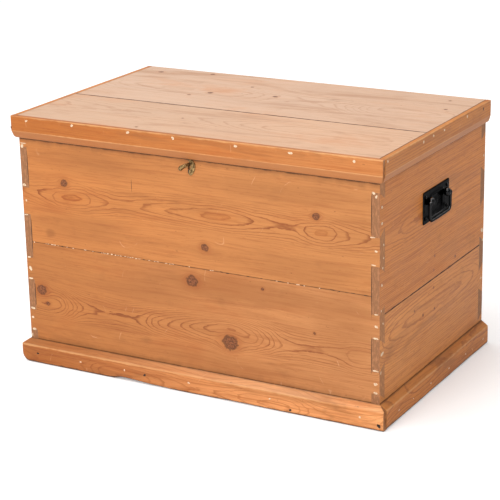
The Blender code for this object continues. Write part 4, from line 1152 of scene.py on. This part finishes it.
def trim(name, along, depth, seed, z_arris, out_arris, tones, fade=(EVEN, EVEN), contrast=0.5,
         upper=0.0, axis=0.30, pith=((-0.46, 0.060), (0.46, 0.064)), spacing=0.0060,
         under=DOWNWARD_SHADE, brush=1.0, wear=1.0):
    """Pine of the trim. Its rubbed edges lie at heights z_arris and places out_arris."""
    return pine(name, along, "z", depth, axis=axis, spacing=spacing, seed=seed, fade=fade,
                pith=pith, quiet=1.0, contrast=contrast, end_tone=FRONT_ENDS, drift=0.42,
                upper=upper, under=under, brush=brush, wear=wear,
                arrises=tuple((depth, out, "z", z, 0.0034, 0.60) for out, z in
                              zip(out_arris, z_arris))
                + tuple((depth, out, "z", MOULDING_BOTTOM + MOULDING_BEVEL, 0.0022, 0.55)
                        for out in out_arris),
                # Dark lines at the plinth's top edge and along its foot; the one at
                # MOULDING_BOTTOM is painted shade along the moulding's lower edge.
                seams=(("z", PLINTH_TOP, 0.0015, 0.6), ("z", 0.0, 0.0060, 0.85),
                       ("z", MOULDING_BOTTOM, 0.0022, 0.60)), **tones)


WARM = {"early": (0.500, 0.172, 0.038), "late": (0.300, 0.072, 0.010)}
FRONT_TRIM = {
    "lid_moulding": trim("pine_moulding_front", "x", "y", 6.0, (LID_TOP,), (MOULDING_LOW.y,),
                         WARM, ((0.79, 0.69, 0.50), (0.97, 1.03, 1.26)), contrast=0.24),
    "plinth": trim("pine_plinth_front", "x", "y", 7.0, (PLINTH_TOP - PLINTH_BEVEL,),
                   (PLINTH_LOW.y,), {"early": (0.585, 0.215, 0.058),
                                     "late": (0.300, 0.080, 0.014)},
                    ((0.60, 0.50, 0.36), (1.31, 1.53, 2.05)), contrast=0.70, upper=0.34,
                    # The plinth's rounded foot faces down and takes a dark painted shade.
                    axis=0.012, spacing=0.0034, under=shade(GRIME_AND_SHADE, 0.9), brush=1.3,
                    wear=1.7,
                    pith=((-0.46, 0.034), (-0.33, 0.042), (-0.20, 0.030), (0.02, 0.041),
                          (0.21, 0.033), (0.33, 0.044), (0.46, 0.036)))}
SIDE_TRIM = {
    "lid_moulding": trim("pine_moulding_side", "y", "x", 8.0, (LID_TOP, LID_TOP),
                         (-MOULDING_LOW.x, MOULDING_LOW.x), END_TONES,
                         ((0.90, 0.91, 0.93), (0.94, 1.00, 1.12)), contrast=0.7),
    "plinth": trim("pine_plinth_side", "y", "x", 9.0, (PLINTH_TOP - PLINTH_BEVEL,) * 2,
                   (PLINTH_LOW.x, -PLINTH_LOW.x), END_TONES, contrast=0.85, upper=0.20, axis=0.043,
                   # The plinth's rounded foot faces down and takes a dark painted shade.
                   under=shade(GRIME_AND_SHADE, 0.9), brush=1.2, wear=1.6, spacing=0.0042,
                   pith=((-0.29, 0.0330), (-0.19, 0.0470), (-0.10, 0.0430), (0.04, 0.0460),
                         (0.30, 0.0440)))}
BOTTOM = pine("pine_bottom", "y", "x", "z", axis=0.05, spacing=0.0060, seed=8.0,
              pith=((-0.30, 0.060), (0.30, 0.066)), roughness=0.75, early=(0.42, 0.25, 0.13),
              late=(0.30, 0.15, 0.07))

for node, material in BOARDS.items():
    dress(node, material, 0.0012 if node.startswith("lid") else 0.0004)
for number in range(1, 5):
    dress(f"bottom_board_{number}", BOTTOM, 0.0006)
mouldings_and_plinth()
fillers()
fill_trim()
handles()
key_bow()

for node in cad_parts:
    if node.startswith("hinge") or node in ("lock_bolt", "lock_link_plate") or (
            node.startswith(("link_plate", "lock_case_screw"))):
        dress(node, STEEL, 0.00015 if "screw" in node else 0.0003)
dress("lock_case", IRON, 0.0004)
dress("key", BRASS, 0.0004)
dress("keyhole_cover", BRASS, 0.0004)
dress("cover_pin", BRASS, 0.0)
